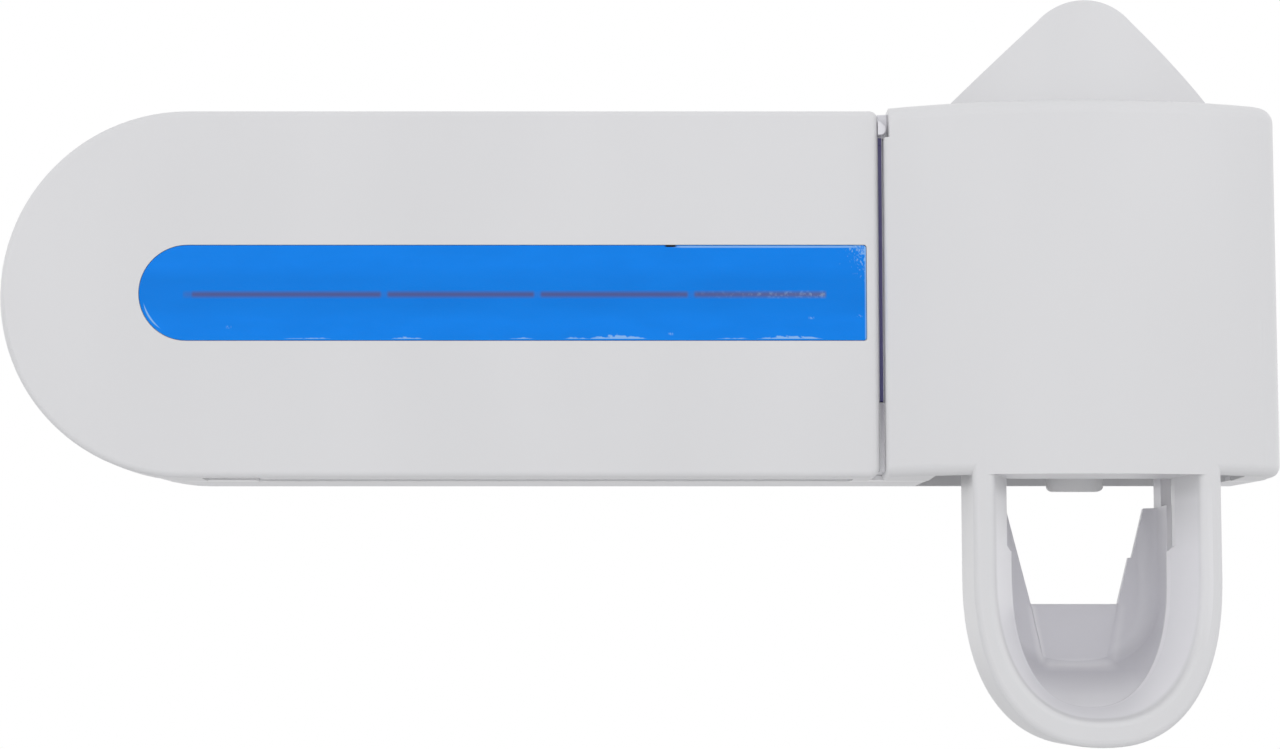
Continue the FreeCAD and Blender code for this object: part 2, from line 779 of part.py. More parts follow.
def lid_shell():
    """Hinged front of the cabin: shallow shell with window recess, slit, hinge pins and ribs."""
    radii = (round_r, lid_corner_bottom, lid_corner_top, round_r)
    outline = corner_outline((lid_left_x, lid_right_x), (bottom_z, top_z), radii, lid_front_y)
    shell = upright_prism(outline, lid_back_y - lid_front_y)
    front_edges = [edge for edge in shell.Edges if edge.BoundBox.YMax < lid_front_y + shortest_edge]
    shell = shell.makeFillet(lid_front_edge_r, front_edges)
    inner_radii = (round_r - lid_wall, lid_corner_bottom / 2, lid_corner_top / 2, round_r - lid_wall)
    inner_x = (lid_left_x + lid_wall, lid_right_x - lid_wall)
    inner_z = (bottom_z + lid_wall, top_z - lid_wall)
    inner = corner_outline(inner_x, inner_z, inner_radii, lid_front_y + lid_wall)
    shell = shell.cut(upright_prism(inner, lid_depth))
    gap_x = (brush_gap_left, brush_gap_right)
    skirt_z = (bottom_z - overrun, bottom_z + lid_wall + overrun)
    shell = shell.cut(block(gap_x, (lid_front_y + lid_lip_depth, lid_back_y + overrun), skirt_z))
    notch_x = (brush_gap_left - finger_notch_width, brush_gap_left + overrun)
    shell = shell.cut(block(notch_x, (lid_front_y + finger_notch_from_front, lid_back_y + overrun), skirt_z))
    shell = shell.cut(window_solid(0, (lid_front_y - overrun, lid_front_y + window_recess)))
    slit_y = (lid_front_y - overrun, lid_front_y + lid_wall + overrun)
    slit_z = (mid_z - slit_height / 2, mid_z + slit_height / 2)
    for run in slit_runs():
        shell = shell.cut(block(run, slit_y, slit_z))
    lug_slot_x = (lug_x - lug_side_gap, lug_x + lug_wall + lug_side_gap)
    lug_slot_z = (hinge_z - lug_r, top_z + overrun)
    shell = shell.cut(block(lug_slot_x, (lid_front_y + lid_wall, lid_back_y + overrun), lug_slot_z))
    parts = [shell]
    rib_x = (lug_slot_x[1], lug_slot_x[1] + lug_rib_wall)
    rib_z = (hinge_z - hinge_pin_r * 2, top_z - lid_wall / 2)
    parts.append(block(rib_x, (lid_front_y + lid_wall / 2, lid_back_y), rib_z))
    parts.append(rod_x(hinge_pin_r, (lug_x - pin_tip_gap, rib_x[1]), hinge_y, hinge_z))
    parts.append(rod_x(hinge_pin_r, (lid_right_x - lid_wall, cover_left_x - pin_cover_gap), hinge_y, hinge_z))
    for share in lid_rib_shares:
        rib_mid_z = bottom_z + body_height * share
        rib_z = (rib_mid_z - lid_rib_wall / 2, rib_mid_z + lid_rib_wall / 2)
        rib_y = (lid_front_y + lid_wall / 2, lid_front_y + lid_wall + lid_rib_height)
        parts.append(block((round_centre_x, lid_right_x - lid_wall / 2), rib_y, rib_z))
    x, _, z = reed_place()
    boss_y = (lid_front_y + lid_wall / 2, lid_front_y + lid_wall + magnet_boss_length)
    parts.append(rod_y(magnet_r + magnet_wall, x, boss_y, z))
    shell = joined(parts)
    pocket_y = (boss_y[1] - magnet_thickness, boss_y[1] + overrun)
    return shell.cut(rod_y(magnet_r + fit_gap, x, pocket_y, z))


def slit_runs():
    """The slit behind the window, cut into runs by narrow ties."""
    right = window_right_x - slit_right_margin
    left = right - slit_length
    runs = []
    start = left
    for share in slit_tie_shares:
        middle = left + slit_length * share
        runs.append((start, middle - slit_tie / 2))
        start = middle + slit_tie / 2
    runs.append((start, right))
    return runs


def window_solid(shrink, y):
    """Window shape: round at the left, square at the right."""
    half = window_height / 2 - shrink
    x = (window_left_x + shrink, window_right_x - shrink)
    z = (mid_z - half, mid_z + half)
    outline = corner_outline(x, z, (half, window_corner, window_corner, half), y[0])
    return upright_prism(outline, y[1] - y[0])


def window_strip():
    back = lid_front_y + window_recess
    return window_solid(window_clearance, (back - window_thickness, back))


def lid_magnet():
    x, _, z = reed_place()
    end = lid_front_y + lid_wall + magnet_boss_length
    return rod_y(magnet_r, x, (end - magnet_thickness, end), z)


def reed_switch():
    x, y, z = reed_place()
    half = reed_length / 2
    capsule = rod_x(reed_r, (x - half, x + half), y, z)
    lead = rod_x(reed_lead_r, (x - half - reed_lead_length, x + half + reed_lead_length), y, z)
    return joined([capsule, lead])


def lamp_trough(radius, x):
    return rod_x(radius, x, lamp_y, lamp_z)


def trough_ends():
    return lamp_left_x - trough_end_room, lamp_right_x + trough_end_room


def lamp_housing():
    """Inner panel of the cabin: a tray turned to the wall, with an open trough for the lamp."""
    right_x = partition_left_x - housing_clearance
    top = housing_top_z()
    outer = cabin_solid(housing_front_y, -back_wall - fit_gap, housing_clearance, right_x)
    keep = block((lid_left_x, right_x), (-case_depth, 0), (housing_bottom_z, top))
    outer = outer.common(keep)
    inner = cabin_solid(housing_front_y + housing_wall, overrun, housing_clearance + housing_wall,
                        right_x - housing_wall)
    keep_inner = block((lid_left_x, right_x), (-case_depth, overrun),
                       (housing_bottom_z + housing_wall, top - housing_wall))
    shell = outer.cut(inner.common(keep_inner))
    ends = trough_ends()
    behind = block((ends[0] - trough_wall, ends[1] + trough_wall), (housing_front_y, 0), (bottom_z, top_z))
    trough = lamp_trough(trough_r + trough_wall, (ends[0] - trough_wall, ends[1] + trough_wall))
    trough = trough.common(behind)
    shell = joined([shell, trough])
    shell = shell.cut(lamp_trough(trough_r, ends))
    for x, z in housing_screw_places():
        hole_r = screw_r + screw_hole_clearance
        shell = shell.cut(rod_y(hole_r, x, (-case_depth, 0), z))
        boss_room = rod_y(housing_boss_r + screw_hole_clearance, x, (housing_front_y + housing_wall, 0), z)
        shell = shell.cut(boss_room)
    jack_y = (jack_axis_y() - jack_thickness / 2 - housing_clearance, 0)
    jack_z = (mid_z - jack_height / 2 - housing_clearance, mid_z + jack_height / 2 + housing_clearance)
    return shell.cut(block((lid_left_x, board_left_x + jack_length), jack_y, jack_z))


def lamp_reflector():
    """Bright sheet lining the trough behind the lamp."""
    outer_r = trough_r - reflector_clearance
    ends = (lamp_left_x + holder_length, lamp_right_x - holder_length)
    inset = (ends[0] + reflector_clearance, ends[1] - reflector_clearance)
    through_x = (ends[0] - overrun, ends[1] + overrun)
    sheet = lamp_trough(outer_r, inset).cut(lamp_trough(outer_r - reflector_sheet, through_x))
    behind = block(through_x, (housing_front_y, 0), (bottom_z, top_z))
    return sheet.common(behind)


def uv_lamp_tube():
    ends = (lamp_left_x + lamp_cap_length / 2, lamp_right_x - lamp_cap_length / 2)
    glass = lamp_trough(lamp_r, ends)
    hollow = (ends[0] + lamp_glass_wall, ends[1] - lamp_glass_wall)
    return glass.cut(lamp_trough(lamp_r - lamp_glass_wall, hollow))


def lamp_end_caps():
    """Two metal caps, each with two contact pins."""
    caps = []
    for end, inward in ((lamp_left_x, 1), (lamp_right_x, -1)):
        cap = rod(lamp_cap_r, V(end, lamp_y, lamp_z), V(end + inward * lamp_cap_length, lamp_y, lamp_z))
        glass_end = V(end + inward * lamp_cap_length / 2, lamp_y, lamp_z)
        cap = cap.cut(rod(lamp_r, glass_end, glass_end + V(inward * lamp_cap_length, 0, 0)))
        pins = []
        for side in (-1, 1):
            place = V(end, lamp_y, lamp_z + side * lamp_pin_spacing / 2)
            tip = place - V(inward * lamp_pin_length, 0, 0)
            pins.append(rod(lamp_pin_r, tip, place + V(inward * lamp_pin_r, 0, 0)))
        caps.append(joined([cap] + pins))
    return Part.makeCompound(caps)


def lamp_holders():
    """Sockets at the ends of the trough; each takes a cap and its pins."""
    holders = []
    ends = trough_ends()
    for end, inward, stop in ((lamp_left_x, 1, ends[0]), (lamp_right_x, -1, ends[1])):
        reach = end + inward * holder_length
        low, high = min(stop, reach), max(stop, reach)
        body = lamp_trough(holder_r, (low + reflector_clearance, high - reflector_clearance))
        face = block((low, high), (housing_front_y - trough_back, 0), (bottom_z, top_z))
        body = body.common(face)
        bore_r = lamp_cap_r + holder_bore_clearance
        seat = V(end - inward * holder_bore_clearance, lamp_y, lamp_z)
        body = body.cut(rod(bore_r, seat, seat + V(inward * holder_length * 2, 0, 0)))
        for side in (-1, 1):
            place = V(end, lamp_y, lamp_z + side * lamp_pin_spacing / 2)
            pin_r = lamp_pin_r + holder_bore_clearance
            body = body.cut(rod(pin_r, place - V(inward * (lamp_pin_length + pin_r), 0, 0), place))
        foot_z = (lamp_z - lamp_r / 2, lamp_z + lamp_r / 2)
        foot_y = (lamp_y + lamp_cap_r + lamp_pin_r * 2, lamp_y + trough_r - reflector_clearance)
        foot = block((low + reflector_clearance, high - reflector_clearance), foot_y, foot_z)
        holders.append(joined([body, foot.common(lamp_trough(trough_r - reflector_clearance, (low, high)))]))
    return Part.makeCompound(holders)


def board_front_y():
    return -back_wall - board_standoff - board_thickness


def jack_axis_y():
    return board_front_y() - jack_axis_above_board


def circuit_board():
    y = (board_front_y(), board_front_y() + board_thickness)
    board = block((board_left_x, board_right_x), y, (board_bottom_z, board_bottom_z + board_height))
    for x, z in board_screw_places():
        board = board.cut(rod_y(screw_r + screw_hole_clearance, x, (-case_depth, 0), z))
    return board


def board_components():
    """Transformer, capacitors and a driver chip standing on the board."""
    front = board_front_y()
    mid = board_bottom_z + board_height / 2
    length, depth, height = transformer_size
    right = board_right_x - transformer_from_right
    core = block((right - length, right), (front - depth, front), (mid - height / 2, mid + height / 2))
    winding_x = (right - (length + winding_length) / 2, right - (length - winding_length) / 2)
    winding = rod_x(height / 2 + winding_bulge, winding_x, front - depth / 2, mid)
    winding_z = (board_bottom_z, board_bottom_z + board_height)
    winding = winding.common(block(winding_x, (front - depth - winding_bulge, front), winding_z))
    parts = [joined([core, winding])]
    for number in range(capacitor_count):
        x = right - length - capacitor_r * 2 - number * capacitor_pitch
        can = rod_y(capacitor_r, x, (front - capacitor_height, front), mid)
        parts.append(can)
    chip_length, chip_depth, chip_height = chip_size
    chip_x = board_left_x + board_screw_inset + screw_head_r * 2
    parts.append(block((chip_x, chip_x + chip_length), (front - chip_depth, front),
                       (mid - chip_height / 2, mid + chip_height / 2)))
    return Part.makeCompound(parts)


def power_jack():
    """Low-voltage inlet on the board; its nose passes through the case's round end."""
    x = board_left_x - jack_overhang
    y = jack_axis_y()
    mouth = x - jack_nose_length
    body_y = (y - jack_thickness / 2, board_front_y())
    body = block((x, x + jack_length), body_y, (mid_z - jack_height / 2, mid_z + jack_height / 2))
    jack = joined([body, rod_x(jack_nose_r, (mouth, x + jack_nose_length), y, mid_z)])
    jack = jack.cut(rod_x(jack_bore_r, (mouth - overrun, mouth + jack_bore_depth), y, mid_z))
    pin = rod_x(jack_pin_r, (mouth + jack_pin_setback, x + jack_bore_depth), y, mid_z)
    return joined([jack, pin])


def rack_flange_front_y():
    return -back_wall - rack_boss_height - rack_flange_wall


def brush_rack():
    """Comb that carries the brushes by their necks, with a screw flange below."""
    back = -back_wall - rack_boss_height
    outline = plan_outline((rack_left_x, rack_right_x), (-rack_reach, back), rack_corner, rack_z)
    plate = Part.Face(outline).extrude(V(0, 0, rack_plate))
    middle = (rack_left_x + rack_right_x) / 2
    slot_r = rack_slot_width / 2
    for number in range(rack_slot_count):
        x = middle + (number - (rack_slot_count - 1) / 2) * rack_slot_pitch
        bottom_y = -rack_reach + rack_slot_depth - slot_r
        plate = plate.cut(rod_z(slot_r, x, bottom_y, (rack_z - overrun, rack_z + rack_plate + overrun)))
        mouth = [
            V(x - slot_r, bottom_y, rack_z - overrun),
            V(x - slot_r, -rack_reach + rack_slot_flare, rack_z - overrun),
            V(x - slot_r - rack_slot_flare, -rack_reach - overrun, rack_z - overrun),
            V(x + slot_r + rack_slot_flare, -rack_reach - overrun, rack_z - overrun),
            V(x + slot_r, -rack_reach + rack_slot_flare, rack_z - overrun),
            V(x + slot_r, bottom_y, rack_z - overrun),
        ]
        plate = plate.cut(outline_prism(mouth, V(0, 0, rack_plate + overrun * 2)))
    root_y = back - rack_flange_wall / 2
    root_z = rack_z + rack_plate / 2
    flange_z = (rack_z - rack_flange_height, root_z)
    parts = [plate, block((rack_left_x, rack_right_x), (rack_flange_front_y(), back), flange_z)]
    for number in range(rack_slot_count + 1):
        x = middle + (number - rack_slot_count / 2) * rack_slot_pitch
        low = max(x - rack_rib_wall / 2, rack_left_x)
        high = min(x + rack_rib_wall / 2, rack_right_x)
        rib = [(root_y, root_z), (back - rack_rib_length, root_z),
               (back - rack_rib_length, rack_z), (root_y, rack_z - rack_rib_height)]
        parts.append(side_prism(rib, (low, high)))
    rack = joined(parts)
    for x, z in rack_screw_places():
        rack = rack.cut(rod_y(screw_r + screw_hole_clearance, x, (-case_depth, 0), z))
    return rack


def plan_outline(x, y, corner, z):
    """Level outline with rounded front corners."""
    bend = corner * (1 - math.sqrt(2) / 2)
    left, right = x
    front, back = y
    edges = [
        line((left, back, z), (left, front + corner, z)),
        arc((left, front + corner, z), (left + bend, front + bend, z), (left + corner, front, z)),
        line((left + corner, front, z), (right - corner, front, z)),
        arc((right - corner, front, z), (right - bend, front + bend, z), (right, front + corner, z)),
        line((right, front + corner, z), (right, back, z)),
        line((right, back, z), (left, back, z)),
    ]
    return Part.Wire(edges)


def screws_at(places, seat_y, length):
    return Part.makeCompound([screw(x, seat_y, z, length) for x, z in places])


def housing_screws():
    return screws_at(housing_screw_places(), housing_front_y, screw_length)


def board_screws():
    return screws_at(board_screw_places(), board_front_y(), board_screw_length)


def rack_screws():
    return screws_at(rack_screw_places(), rack_flange_front_y(), board_screw_length)


def pump_screws():
    return screws_at(pump_screw_places(), pump_plate_front_y, screw_length)


def bow_radius():
    """Radius of the cover's bowed front."""
    return ((cover_width / 2) ** 2 + cover_bulge ** 2) / (2 * cover_bulge)


def cover_plan(inset, z, back_y):
    """Plan outline of the cover: bowed front, straight sides, rounded upright edges."""
    radius = bow_radius() - inset
    centre = V(cover_mid_x, apex_y + bow_radius(), z)
    left = cover_left_x + inset
    right = cover_right_x - inset
    left_y = centre.y - math.sqrt(radius ** 2 - (cover_mid_x - left) ** 2)
    right_y = centre.y - math.sqrt(radius ** 2 - (right - cover_mid_x) ** 2)
    edges = [
        line((left, back_y, z), (left, left_y, z)),
        arc((left, left_y, z), (cover_mid_x, centre.y - radius, z), (right, right_y, z)),
        line((right, right_y, z), (right, back_y, z)),
        line((right, back_y, z), (left, back_y, z)),
    ]
    return Part.Wire(edges)


def cover_body(inset, z, back_y):
    """Bowed block between two heights."""
    return Part.Face(cover_plan(inset, z[0], back_y)).extrude(V(0, 0, z[1] - z[0]))


def cover_block(inset, back_y):
    """The cover's outer form, or its inside when inset by the wall."""
    low = bottom_z + inset
    high = cover_top_z - inset
    right = cover_right_x - inset
    body = cover_body(inset, (low, high), back_y)
    body = rounded(body, cover_right_edge_r - inset, [V(right, shoulder_y, mid_z)])
    body = rounded(body, cover_corner_top - inset, [V(right, cover_back_y, high)])
    return rounded(body, cover_corner_bottom - inset, [V(right, cover_back_y, low)])


def soften_front(body):
    """Round the edges where the cover's bowed front meets its top, bottom and left side."""
    ends = [V(cover_mid_x, apex_y, z) for z in (bottom_z, cover_top_z)]
    return rounded(body, cover_rim_r, ends + [V(cover_left_x, shoulder_y, mid_z)])


def funnel_outline(y):
    """The loop's mouth at depth y, narrowing from the rim to the lip."""
    share = (y - rim_plane_y) / (lip_y - rim_plane_y)
    rim_half = loop_half_width - loop_rim
    rim_floor = loop_bottom_z + loop_rim_bottom
    half = rim_half + (lip_half_width - rim_half) * share
    floor = rim_floor + (loop_bottom_z + lip_bottom_above_loop - rim_floor) * share
    return loop_outline(half, floor, loop_spring_z, bottom_z, y)


def guard_loop():
    """U-shaped guard that follows the cover's bowed front, with an inward lip."""
    ceiling = bottom_z + guard_rise
    start_y = apex_y - overrun
    outline = loop_outline(loop_half_width, loop_bottom_z, loop_spring_z, ceiling, start_y)
    solid = upright_prism(outline, loop_back_y - start_y)
    solid = solid.common(cover_body(0, (loop_bottom_z - overrun, ceiling + overrun), loop_back_y + overrun))
    rim_half = loop_half_width - loop_rim
    rear_floor = loop_bottom_z + loop_floor_wall
    rear_y = lip_y + lip_wall
    outline = loop_outline(rim_half, rear_floor, loop_spring_z, ceiling + overrun, rear_y)
    solid = solid.cut(upright_prism(outline, loop_back_y - lip_y + overrun))
    solid = solid.cut(Part.makeLoft([funnel_outline(start_y), funnel_outline(rear_y + overrun)], True, True))
    upper = lip_upper_half_width
    step = upper - lip_half_width
    lip_top = bottom_z - lip_top_drop
    shoulders = [(-upper, bottom_z), (-upper, lip_top), (-lip_half_width, lip_top - step),
                 (lip_half_width, lip_top - step), (upper, lip_top), (upper, bottom_z)]
    points = [V(axis_x + across, start_y, z) for across, z in shoulders]
    solid = solid.cut(outline_prism(points, V(0, rear_y - start_y + overrun, 0)))
    hollow = cover_body(cover_wall, (bottom_z + cover_wall, ceiling + overrun), loop_back_y + overrun)
    hollow_x = (axis_x - rim_half, axis_x + rim_half)
    hollow = hollow.common(block(hollow_x, (start_y, 0), (bottom_z, ceiling + overrun)))
    solid = solid.cut(hollow)
    return solid.makeFillet(loop_edge_r, rim_edges(solid))


def rim_edges(solid):
    """The edges of the loop's face, below the cover."""
    edges = []
    for edge in solid.Edges:
        box = edge.BoundBox
        spots = [vertex.Point for vertex in edge.Vertexes]
        spots.append(edge.valueAt((edge.FirstParameter + edge.LastParameter) / 2))
        off = max(abs(math.hypot(spot.x - cover_mid_x, spot.y - apex_y - bow_radius()) - bow_radius())
                  for spot in spots)
        if off < shortest_edge and box.ZLength > shortest_edge:
            edges.append(edge)
    return edges


def cover_latches():
    """Spring tabs on short webs that reach into the case along its side walls."""
    right = cover_right_x - inset_at(0) - case_wall - latch_clearance
    left = partition_right_x + latch_clearance
    parts = []
    for share in latch_shares:
        middle = bottom_z + body_height * share
        z = (middle - latch_width / 2, middle + latch_width / 2)
        web_y = (cover_back_y - latch_reach, cover_back_y - seam_gap)
        tab_y = (cover_back_y - latch_reach, cover_back_y + latch_reach)
        parts.append(block((cover_left_x + cover_wall / 2, left + latch_wall), web_y, z))
        parts.append(block((right - latch_wall, cover_right_x - cover_wall / 2), web_y, z))
        parts.append(block((left, left + latch_wall), tab_y, z))
        parts.append(block((right - latch_wall, right), tab_y, z))
    return parts


def dispenser_cover():
    """Removable front of the dispenser, in one piece with the guard loop."""
    shell = soften_front(cover_block(0, cover_back_y))
    shell = shell.cut(cover_block(cover_wall, cover_back_y + overrun))
    mouth_x = (bay_mouth_left_x, bay_mouth_right_x)
    mouth_z = (bottom_z - overrun, bottom_z + cover_wall + overrun / 2)
    mouth = block(mouth_x, (apex_y, cover_back_y + overrun), mouth_z)
    shell = shell.cut(mouth.common(cover_body(cover_wall, (mouth_z[0], top_z), cover_back_y + overrun)))
    shell = shell.cut(collar_prism(collar_clearance, (top_z - collar_skirt, top_z + overrun)))
    shell = shell.cut(collar_prism(collar_flange + collar_clearance, (top_z, cover_top_z + overrun)))
    cover = joined([shell, guard_loop()] + cover_latches())
    notch_x = (cover_left_x - overrun, ear_right_x + cover_notch_clearance)
    notch_z = (hinge_z - ear_r - cover_notch_clearance, cover_top_z + overrun)
    return cover.cut(block(notch_x, (apex_y - overrun, seam_y), notch_z))


def tube_collar():
    """Oval collar round the tube's socket; its front rises as a curved shield."""
    low = top_z - collar_skirt
    tip = top_z + shield_height
    wall = collar_prism(0, (low, tip)).cut(collar_prism(-collar_wall, (low - overrun, tip + overrun)))
    seat = top_z + fit_gap
    angle = math.radians(shield_flank_angle)
    tip_half = shield_tip_r * math.sin(angle)
    tip_drop = shield_tip_r * (1 - math.cos(angle))
    foot_half = tip_half + (shield_height - tip_drop) / math.tan(math.pi / 2 - angle)
    y = collar_front_y - overrun
    base = low - overrun
    tip_left = (axis_x - tip_half, y, tip - tip_drop)
    tip_right = (axis_x + tip_half, y, tip - tip_drop)
    corners = [(axis_x + foot_half, y, top_z), (axis_x + foot_half, y, base),
               (axis_x - foot_half, y, base), (axis_x - foot_half, y, top_z)]
    runs = [tip_right] + corners + [tip_left]
    edges = [arc(tip_left, (axis_x, y, tip), tip_right)]
    edges += [line(start, end) for start, end in zip(runs, runs[1:])]
    shield = wall.common(upright_prism(Part.Wire(edges), shield_depth))
    band_x = (axis_x - collar_r, axis_x + collar_r)
    band = wall.common(block(band_x, (y, 0), (low, seat + collar_flange_height)))
    flange = collar_prism(collar_flange, (seat, seat + collar_flange_height))
    flange = flange.cut(collar_prism(-collar_wall, (low, tip)))
    hooks = []
    hook_top = top_z - inset_at(0) - case_wall - collar_hook_gap
    hook_y = (collar_hook_y - collar_hook_width / 2, collar_hook_y + collar_hook_width / 2)
    for side in (-1, 1):
        root = axis_x + side * (collar_half_width - collar_wall / 2)
        x = sorted((root, axis_x + side * (collar_half_width + collar_hook)))
        hooks.append(block(x, hook_y, (hook_top - collar_hook_height, hook_top)))
    return joined([shield, band, flange] + hooks)


def pump_body():
    """Moulded pump: mounting plate, chamber, inlet boss with dish, outlet duct and pivot bosses."""
    x = (axis_x - pump_plate_half_width, axis_x + pump_plate_half_width)
    z = (pump_plate_bottom_z, pump_plate_top_z)
    radii = (pump_plate_corner, pump_plate_corner, pump_plate_corner, pump_plate_corner)
    plate = upright_prism(corner_outline(x, z, radii, pump_plate_front_y), pump_plate_wall)
    root_y = pump_plate_front_y + pump_plate_wall / 2
    pivot_x = (axis_x - pivot_boss_half_length, axis_x + pivot_boss_half_length)
    parts = [
        plate,
        rod_y(chamber_r + chamber_wall, axis_x, (chamber_front_y, root_y), chamber_z),
        rod_y(clamp_flange_r, axis_x, (clamp_front_y, chamber_front_y), chamber_z),
        rod_z(inlet_boss_r, axis_x, inlet_y, (inlet_boss_bottom_z, inlet_boss_top_z)),
        rod_z(inlet_column_r, axis_x, inlet_channel_y, (chamber_z, inlet_boss_bottom_z + pump_plate_wall)),
        rod_z(outlet_duct_r, axis_x, outlet_y, (outlet_shoulder_z, chamber_z)),
        rod_z(spout_r, axis_x, outlet_y, (spout_bottom_z, outlet_shoulder_z + overrun)),
        rod_x(pivot_boss_r, pivot_x, pivot_y, pivot_z),
        dish(),
    ]
    for side in (-1, 1):
        web_x = (axis_x + side * chamber_r - dish_wall / 2, axis_x + side * chamber_r + dish_wall / 2)
        web = [(root_y, chamber_z), (pivot_y, chamber_z), (pivot_y, pivot_z), (root_y, pump_plate_top_z)]
        parts.append(side_prism(web, web_x))
    body = joined(parts)
    chamber_back = pump_plate_front_y - chamber_floor
    body = body.cut(rod_y(chamber_r, axis_x, (clamp_front_y - overrun, chamber_back), chamber_z))
    body = body.cut(rod_z(inlet_seat_r, axis_x, inlet_y, (inlet_seat_floor_z, dish_top_z)))
    channel_z = (chamber_z, inlet_seat_floor_z + overrun)
    body = body.cut(rod_z(inlet_channel_r, axis_x, inlet_channel_y, channel_z))
    body = body.cut(rod_z(outlet_bore_r, axis_x, outlet_y, (spout_bottom_z - overrun, chamber_z)))
    for side in (-1, 1):
        end = axis_x + side * pivot_boss_half_length
        start = end - side * (pivot_pin_length - arm_wall - arm_inner + pivot_boss_half_length)
        body = body.cut(rod_x(pivot_pin_r, sorted((start, end + side * overrun)), pivot_y, pivot_z))
    for x, z in pump_screw_places():
        body = body.cut(rod_y(screw_r + screw_hole_clearance, x, (-case_depth, 0), z))
    return body


def dish():
    """Funnel that the tube's shoulder rests on."""
    height = dish_top_z - dish_bottom_z
    foot = V(axis_x, inlet_y, dish_bottom_z)
    outer = Part.makeCone(inlet_boss_r, dish_top_r, height, foot)
    return outer.cut(Part.makeCone(inlet_boss_r - dish_wall, dish_top_r - dish_wall, height, foot))


def inlet_seal():
    """Rubber grommet that grips the tube's neck."""
    outer_r = inlet_seat_r - fit_gap
    low = inlet_seat_floor_z + valve_thickness + fit_gap * 2
    body = rod_z(outer_r, axis_x, inlet_y, (low, inlet_boss_top_z))
    seal = body.cut(rod_z(seal_bore_r, axis_x, inlet_y, (low - overrun, inlet_boss_top_z + overrun)))
    lip = rod_z(seal_bore_r + fit_gap, axis_x, inlet_y, (low, low + seal_lip_height))
    lip = lip.cut(rod_z(seal_lip_r, axis_x, inlet_y, (low - overrun, low + overrun)))
    return joined([seal, lip])


def inlet_valve():
    """Flap disc under the seal that stops paste from going back up the tube."""
    low = inlet_seat_floor_z + fit_gap
    disc = rod_z(valve_r, axis_x, inlet_y, (low, low + valve_thickness))
    knob = rod_z(valve_stem_r, axis_x, inlet_y, (low, low + valve_thickness + valve_stem_length))
    return joined([disc, knob])


def diaphragm():
    """Silicone cap over the chamber that the plunger presses in."""
    rim_y = clamp_front_y
    crown_y = rim_y - diaphragm_wall - diaphragm_rise
    profile = [
        (0, rim_y - diaphragm_rise), (diaphragm_crown_r, rim_y - diaphragm_rise),
        (diaphragm_dome_r, rim_y), (diaphragm_flange_r, rim_y),
        (diaphragm_flange_r, rim_y - diaphragm_wall),
        (diaphragm_dome_r + diaphragm_wall, rim_y - diaphragm_wall),
        (diaphragm_crown_r + diaphragm_wall / 2, crown_y), (0, crown_y),
    ]
    points = [V(axis_x + r, y, chamber_z) for r, y in profile]
    face = Part.Face(Part.makePolygon(points + [points[0]]))
    return face.revolve(V(axis_x, 0, chamber_z), V(0, 1, 0), half_turn * 2)


def diaphragm_ring():
    body = rod_y(clamp_flange_r, axis_x, (ring_front_y, ring_back_y), chamber_z)
    return body.cut(rod_y(ring_inner_r, axis_x, (ring_front_y - overrun, ring_back_y + overrun), chamber_z))


def outlet_nozzle():
    """Soft duckbill: a round sleeve over the spout that flattens to a slit."""
    sleeve = rod_z(nozzle_r, axis_x, outlet_y, (nozzle_round_z, nozzle_top_z))
    circle = Part.Wire(Part.Circle(V(axis_x, outlet_y, nozzle_round_z), V(0, 0, 1), nozzle_r).toShape())
    flat = []
    for step in range(nozzle_curve_steps):
        turn = 2 * math.pi * step / nozzle_curve_steps
        x = axis_x + nozzle_r * math.cos(turn)
        across = math.copysign(abs(math.sin(turn)) ** nozzle_tip_power, math.sin(turn))
        flat.append(V(x, outlet_y + nozzle_tip_thickness / 2 * across, nozzle_tip_z))
    tip_curve = Part.BSplineCurve()
    tip_curve.interpolate(Points=flat, PeriodicFlag=True)
    bill = Part.makeLoft([circle, Part.Wire(tip_curve.toShape())], True, False)
    x = (axis_x - nozzle_r, axis_x + nozzle_r)
    radii = (nozzle_tip_corner, nozzle_tip_corner, least_corner, least_corner)
    outline = corner_outline(x, (nozzle_tip_z, nozzle_top_z), radii, outlet_y - nozzle_r)
    body = joined([sleeve, bill]).common(upright_prism(outline, nozzle_r * 2))
    body = body.cut(rod_z(spout_r, axis_x, outlet_y, (spout_bottom_z, nozzle_top_z + overrun)))
    depth = spout_bottom_z - nozzle_tip_z - nozzle_tip_corner
    foot = V(axis_x, outlet_y, spout_bottom_z)
    body = body.cut(Part.makeCone(spout_r - nozzle_slit, nozzle_slit, depth, foot, V(0, 0, -1)))
    slit_x = (axis_x - nozzle_slit_width / 2, axis_x + nozzle_slit_width / 2)
    slit_y = (outlet_y - nozzle_slit / 2, outlet_y + nozzle_slit / 2)
    return body.cut(block(slit_x, slit_y, (nozzle_tip_z - overrun, spout_bottom_z)))


def plunger():
    """Round-nosed button between the lever's bridge and the diaphragm."""
    rim_front = plunger_apex_y + plunger_rim_back
    crown_y = clamp_front_y - diaphragm_wall - diaphragm_rise
    stem = rod_y(plunger_stem_r, axis_x, (rim_front, crown_y - fit_gap), chamber_z)
    rim = rod_y(plunger_rim_r, axis_x, (rim_front, rim_front + plunger_rim_wall), chamber_z)
    ball_r = (plunger_nose_r ** 2 + plunger_rim_back ** 2) / (2 * plunger_rim_back)
    ball = Part.makeSphere(ball_r, V(axis_x, plunger_apex_y + ball_r, chamber_z))
    nose_y = (plunger_apex_y - overrun, rim_front + plunger_rim_wall / 2)
    nose = ball.common(rod_y(plunger_nose_r, axis_x, nose_y, chamber_z))
    return joined([stem, rim, nose])


def spring_ends():
    """Depth of the coil's centre line at its front and back ends."""
    front = plunger_apex_y + plunger_rim_back + plunger_rim_wall + spring_seat_gap + spring_wire_r
    back = ring_front_y - spring_seat_gap - spring_wire_r
    return front, back


